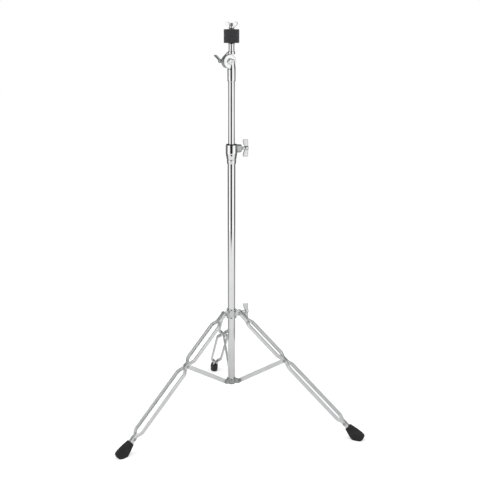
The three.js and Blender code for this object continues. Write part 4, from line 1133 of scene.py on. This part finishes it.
# Cymbal post and what stands on it
post = {
    "radius": 8, "wall": 1.6, "length": 25.4, "rodRadius": 3.9, "rodTop": 1163, "rodInPost": 18,
    "threadDepth": 0.5, "threadWire": 0.48, "threadLift": 0.02, "threadFrom": 0.5, "threadShort": 2,
    "pitch": 1.25, "washerRadius": 9.4, "washer": 2,
    "sleeveRadius": 6, "sleeveWall": 1.6, "sleeveFlange": 8.6, "flange": 1.5,
}
felt = {
    "radius": 21.3, "thickness": 18.05, "round": 2.4, "joint": 0.9, "innerRound": 0.6, "segments": 120,
    "profileStep": 1.2, "lump": 0.35, "lumpScale": 0.004, "lumpMiddle": 0.75,
    "fuzz": 1.5e6,  # hairs on a square metre
    "hair": 1.0, "hairWidth": 0.05,
}
postBottom = pivotHeight + tilter["radius"] + gap + tilter["socketHeight"] / 2
postTop = pivotHeight + tilter["radius"] + gap + post["length"] + gap
washerTop = postTop + gap + post["washer"]
lowerFeltBottom = washerTop + gap + post["flange"] + gap
upperFeltBottom = lowerFeltBottom + felt["thickness"] + gap
upperFeltTop = upperFeltBottom + felt["thickness"]


def makePost(sizes):
    radius, wall, rod, top = pick(sizes, "radius wall rodRadius rodTop")
    bore = radius - wall
    tube = lathe("cymbalPost", (bore, postBottom, radius, postTop, bore), 0.7, tubeChrome)
    standsFor(tube, "cymbal_post", "cymbal_holder")
    base, core = bore - gap, rod - sizes["threadDepth"]
    foot, head = postTop - sizes["rodInPost"], postTop - gap
    steps = (0, foot, base, head, core, top, 0)
    shaft = lathe("threadedRod", steps, [0, 0.4, 0.3, 0, 0.8, 0], rivetSteel, 64)
    length = top - postTop - sizes["threadShort"]
    ring, wire = core + sizes["threadLift"], sizes["threadWire"]
    start = move(0, 0, postTop + sizes["threadFrom"])
    thread = makeCoil("rodThread", length / sizes["pitch"], ring, length, wire, 28, 4, rivetSteel, start)
    joinInto(shaft, [thread])
    standsFor(shaft, "threaded_rod", "cymbal_holder")
    hole, seat = rod + gap, postTop + gap
    washer = lathe("seatWasher", (hole, seat, sizes["washerRadius"], washerTop, hole), 0.6, castChrome)
    standsFor(washer, "seat_washer", "cymbal_holder")


def makeSleeve(sizes):
    radius, wide = pick(sizes, "sleeveRadius sleeveFlange")
    bore = radius - sizes["sleeveWall"]
    bottom, top = washerTop + gap, upperFeltTop - gap
    seat = bottom + sizes["flange"]
    sleeve = lathe("cymbalSleeve", (bore, bottom, wide, seat, radius, top, bore), 0.3, blackNylon)
    standsFor(sleeve, "cymbal_sleeve", "cymbal_holder")


def makeFelt(name, node, bottom, seed, sizes, rounds):
    bore, inner = post["sleeveRadius"] + gap, sizes["innerRound"]
    outer, top = sizes["radius"], bottom + sizes["thickness"]
    corners = [(bore, bottom), (outer, bottom), (outer, top), (bore, top)]
    rounded = fillet(corners, [inner, *rounds, inner], closed=True, steps=5)
    profile = []
    for item, spot in enumerate(rounded):
        after = rounded[(item + 1) % len(rounded)]
        pieces = max(1, round((after - spot).length / sizes["profileStep"]))
        profile += [spot.lerp(after, step / pieces) for step in range(pieces)]
    body = turned(name, profile, blackFelt, segments=sizes["segments"], closed=True, sharp=180)
    lumps = bpy.data.textures.new(name + "Lumps", "CLOUDS")
    lumps.noise_scale = sizes["lumpScale"]
    swell = body.modifiers.new("lumps", "DISPLACE")
    swell.texture = lumps
    swell.texture_coords = "LOCAL"
    swell.strength = sizes["lump"] * mm
    swell.mid_level = sizes["lumpMiddle"]
    settle(body)
    fuzzy = grow(name + "Fuzz", feltFuzz, {
        "Density": sizes["fuzz"], "Length": sizes["hair"] * mm, "Thickness": sizes["hairWidth"] * mm,
        "Seed": seed, "Material": blackFelt}, body.data)
    discard(body)
    fuzzy.name = name
    standsFor(fuzzy, node, "cymbal_holder")


topNut = {
    "hub": 6.4, "height": 9, "span": 35, "rise": 20, "turn": 150, "thickness": 3.6, "skin": (0.36, 9),
    # half of the wings' outline beyond the hub: shares of the half span and of the rise, and the rounding
    "wing": [(0.72, 0.4, 5), (1, 0.58, 5), (0.99, 0.92, 2), (0.84, 1, 3), (0.4, 0.93, 4)],
}


def makeTopNut(sizes):
    hub, height, rise = pick(sizes, "hub height rise")
    seat = upperFeltTop + gap
    edge = hub / 5
    corners = [(0, seat), (hub + edge, seat), (hub + edge, seat + edge), (hub, seat + 2 * edge),
               (hub - edge, seat + height), (0, seat + height)]
    body = turned("topWingNut", fillet(corners, [0, 0.4, 0.4, 0.8, 1.2, 0]), castChrome)
    half, root = sizes["span"] / 2, post["rodRadius"] + edge
    side = [(root, edge)] + [(half * x, rise * y) for x, y, rounding in sizes["wing"]] + [(root, height)]
    rounds = [0] + [row[2] for row in sizes["wing"]] + [1]
    outline = fillet(side + [(-x, y) for x, y in reversed(side)], rounds + rounds[::-1], closed=True, steps=5)
    outline = [(spot.x, spot.y + seat) for spot in outline]
    fuse(body, plate("blades", outline, -sizes["thickness"] / 2, sizes["thickness"] / 2, plateUp))
    cut(body, drill(post["rodRadius"] + gap, seat - 3, seat + rise + 3, segments=48))
    castSkin(body, *sizes["skin"])
    place(body, turnZ(sizes["turn"]))
    standsFor(body, "top_wing_nut", "top_nut")


makeTilterBase(tilter)
makeTilterArm(tilter)
makeTilterBolt(tilter)
makeTilterNut(tilter)
makePost(post)
makeSleeve(post)
makeFelt("lowerFelt", "lower_felt", lowerFeltBottom, 3, felt, (felt["round"], felt["joint"]))
makeFelt("upperFelt", "upper_felt", upperFeltBottom, 8, felt, (felt["joint"], felt["round"]))
makeTopNut(topNut)
print("stage: tilter, post and felts made")

# Floor, cards and light, with lengths in metres
sideFade = [(0.0, 0.36), (0.3, 0.32), (0.5, 0.12), (0.68, 0.11),
            (0.88, 0.3), (0.99, 0.28), (1.07, 0.09), (1.5, 0.12)]
studio = {
    "floorSize": 30.0,
    "floorColor": (0.8, 0.8, 0.8, 1.0),
    "floorGlow": 0.34,  # what the camera adds to the floor, so that it ends white
    "worldFill": 0.85,
    "cards": {
        # distance, from and to in degrees, then heights and brightness
        "frontCard0": (2.35, -129.0, -83.5, [
            (0.0, 0.7), (0.036, 0.52), (0.07, 0.38), (0.1, 0.17), (0.15, 0.04), (0.2, 0.01), (3.2, 0.01)]),
        "frontCard1": (2.35, -81.0, -50.0, [(0.0, 0.87), (0.1, 0.93), (0.2, 0.94), (3.2, 0.94)]),
        "sideCard0": (0.6, -20.0, 72.0, sideFade),
        "sideCard1": (0.6, 90.0, 180.0, sideFade),
    },
    # the dark card's foot on the floor: from and to in degrees, then radii and brightness
    "frontShade": (-129.0, -83.5, [(1.9, 0.82), (2.07, 0.79), (2.2, 0.75), (2.36, 0.7)]),
    "overhead": (1.35, 0.45, 0.04),  # height, radius and brightness
    # what polished metal sees of the floor, with painted shade that darkens it towards the stand: radius and
    # brightness
    "floorShadeFade": [(0.0, 0.48), (0.35, 0.6), (0.8, 0.76), (1.6, 0.81), (2.3, 0.86), (3.2, 1.0)],
    "shadeLift": 0.0008, "floorLift": 0.0004,  # of the two cards above the floor
    # azimuth, height, distance, size and watts of each lamp
    "lamps": [(-150.0, 2.4, 2.6, 1.2, 30.0), (-40.0, 2.0, 2.8, 1.0, 18.0)],
    "lampAim": (0, 0, 0.6),
}
white = (1.0, 1.0, 1.0, 1.0)


def cameraGlow(tree, strength, otherStrength):
    path = addNode(tree, "ShaderNodeLightPath")
    seen = calc(tree, "MAXIMUM", path["Is Camera Ray"], path["Is Glossy Ray"])
    through = calc(tree, "MAXIMUM", seen, path["Is Transmission Ray"])
    return remap(tree, through, 0.0, 1.0, otherStrength, strength)


def makeFloor(sizes):
    half = sizes["floorSize"] * 500
    material, tree = newMaterial("floorPaper")
    feed(tree, tree.nodes["Principled BSDF"], {
        "Base Color": sizes["floorColor"], "Roughness": 0.9, "Specular IOR Level": 0.0,
        "Emission Color": white, "Emission Strength": cameraGlow(tree, sizes["floorGlow"], 0.0)})
    corners = [(x, y, 0) for x, y in rectangle(half, half)]
    buildPiece("floor", corners, [[0, 1, 2, 3]], material)


# Brightness by height, or by the distance from the middle of the floor
def glowMaterial(name, fade, upright=True):
    material, tree = newMaterial(name)
    tree.nodes.remove(tree.nodes["Principled BSDF"])
    where = addNode(tree, "ShaderNodeTexCoord")["Object"]
    if upright:
        measure = addNode(tree, "ShaderNodeSeparateXYZ", {"Vector": where})["Z"]
    else:
        measure = vectorCalc(tree, "LENGTH", {0: where})["Value"]
    reach = fade[-1][0]
    ramp = tree.nodes.new("ShaderNodeValToRGB")
    feed(tree, ramp, {"Fac": calc(tree, "DIVIDE", measure, reach)})
    stops = ramp.color_ramp.elements
    for number, (spot, level) in enumerate(fade):
        stop = stops[number] if number < 2 else stops.new(spot / reach)
        stop.position = spot / reach
        stop.color = (level, level, level, 1.0)
    glow = addNode(tree, "ShaderNodeEmission", {"Color": ramp.outputs["Color"], "Strength": 1.0})
    feed(tree, tree.nodes["Material Output"], {"Surface": glow[0]})
    return material


def forReflections(card):
    card.visible_camera = False
    card.visible_diffuse = False
    card.visible_shadow = False
    card.visible_transmission = False


# Between two arcs, each given by its radius and its height in metres
def makeCard(name, start, end, low, high, material):
    points = []
    for radius, height in (low, high):
        points += [(x, y, height * 1000) for x, y in arc((0, 0), radius * 1000, start, end, 12)]
    count = len(points) // 2
    faces = [[item, item + 1, count + item + 1, count + item] for item in range(count - 1)]
    forReflections(buildPiece(name, points, faces, material))


def makeRoundCard(name, radius, height, material, segments=96):
    profile = [(0.001, height * 1000), (radius * 1000, height * 1000)]
    forReflections(turned(name, profile, material, segments=segments))


def makeCards(sizes):
    for name, (distance, start, end, fade) in sizes["cards"].items():
        foot, top = ((distance, row[0]) for row in (fade[0], fade[-1]))
        makeCard(name, start, end, foot, top, glowMaterial(name, fade))
    start, end, fade = sizes["frontShade"]
    inner, outer = ((row[0], sizes["shadeLift"]) for row in (fade[0], fade[-1]))
    makeCard("frontShade", start, end, inner, outer, glowMaterial("frontShade", fade, upright=False))
    height, radius, level = sizes["overhead"]
    material = glowMaterial("overheadCard", [(0.0, level), (height, level)])
    makeRoundCard("overheadCard", radius, height, material)
    # painted shade: a card seen only in reflections, darker towards the middle of the floor
    fade = sizes["floorShadeFade"]
    material = glowMaterial("floorShadeCard", fade, upright=False)
    makeRoundCard("floorShadeCard", fade[-1][0], sizes["floorLift"], material, 64)


def makeLight(sizes):
    world = bpy.data.worlds.new("studio")
    bpy.context.scene.world = world
    world.use_nodes = True
    tree = world.node_tree
    strength = cameraGlow(tree, 1.0, sizes["worldFill"])
    feed(tree, tree.nodes["Background"], {"Color": white, "Strength": strength})
    for number, (azimuth, height, distance, size, watts) in enumerate(sizes["lamps"]):
        data = bpy.data.lights.new("lamp" + str(number), "AREA")
        data.size = size
        data.energy = watts
        lamp = addObject("lamp" + str(number), data)
        turn = math.radians(azimuth)
        lamp.location = (math.cos(turn) * distance, math.sin(turn) * distance, height)
        aim = Vector(sizes["lampAim"]) - lamp.location
        lamp.rotation_euler = aim.to_track_quat("-Z", "Y").to_euler()
        lamp.visible_glossy = False


makeFloor(studio)
makeCards(studio)
makeLight(studio)
bpy.context.scene.view_settings.view_transform = "Standard"
print("stage: studio made")
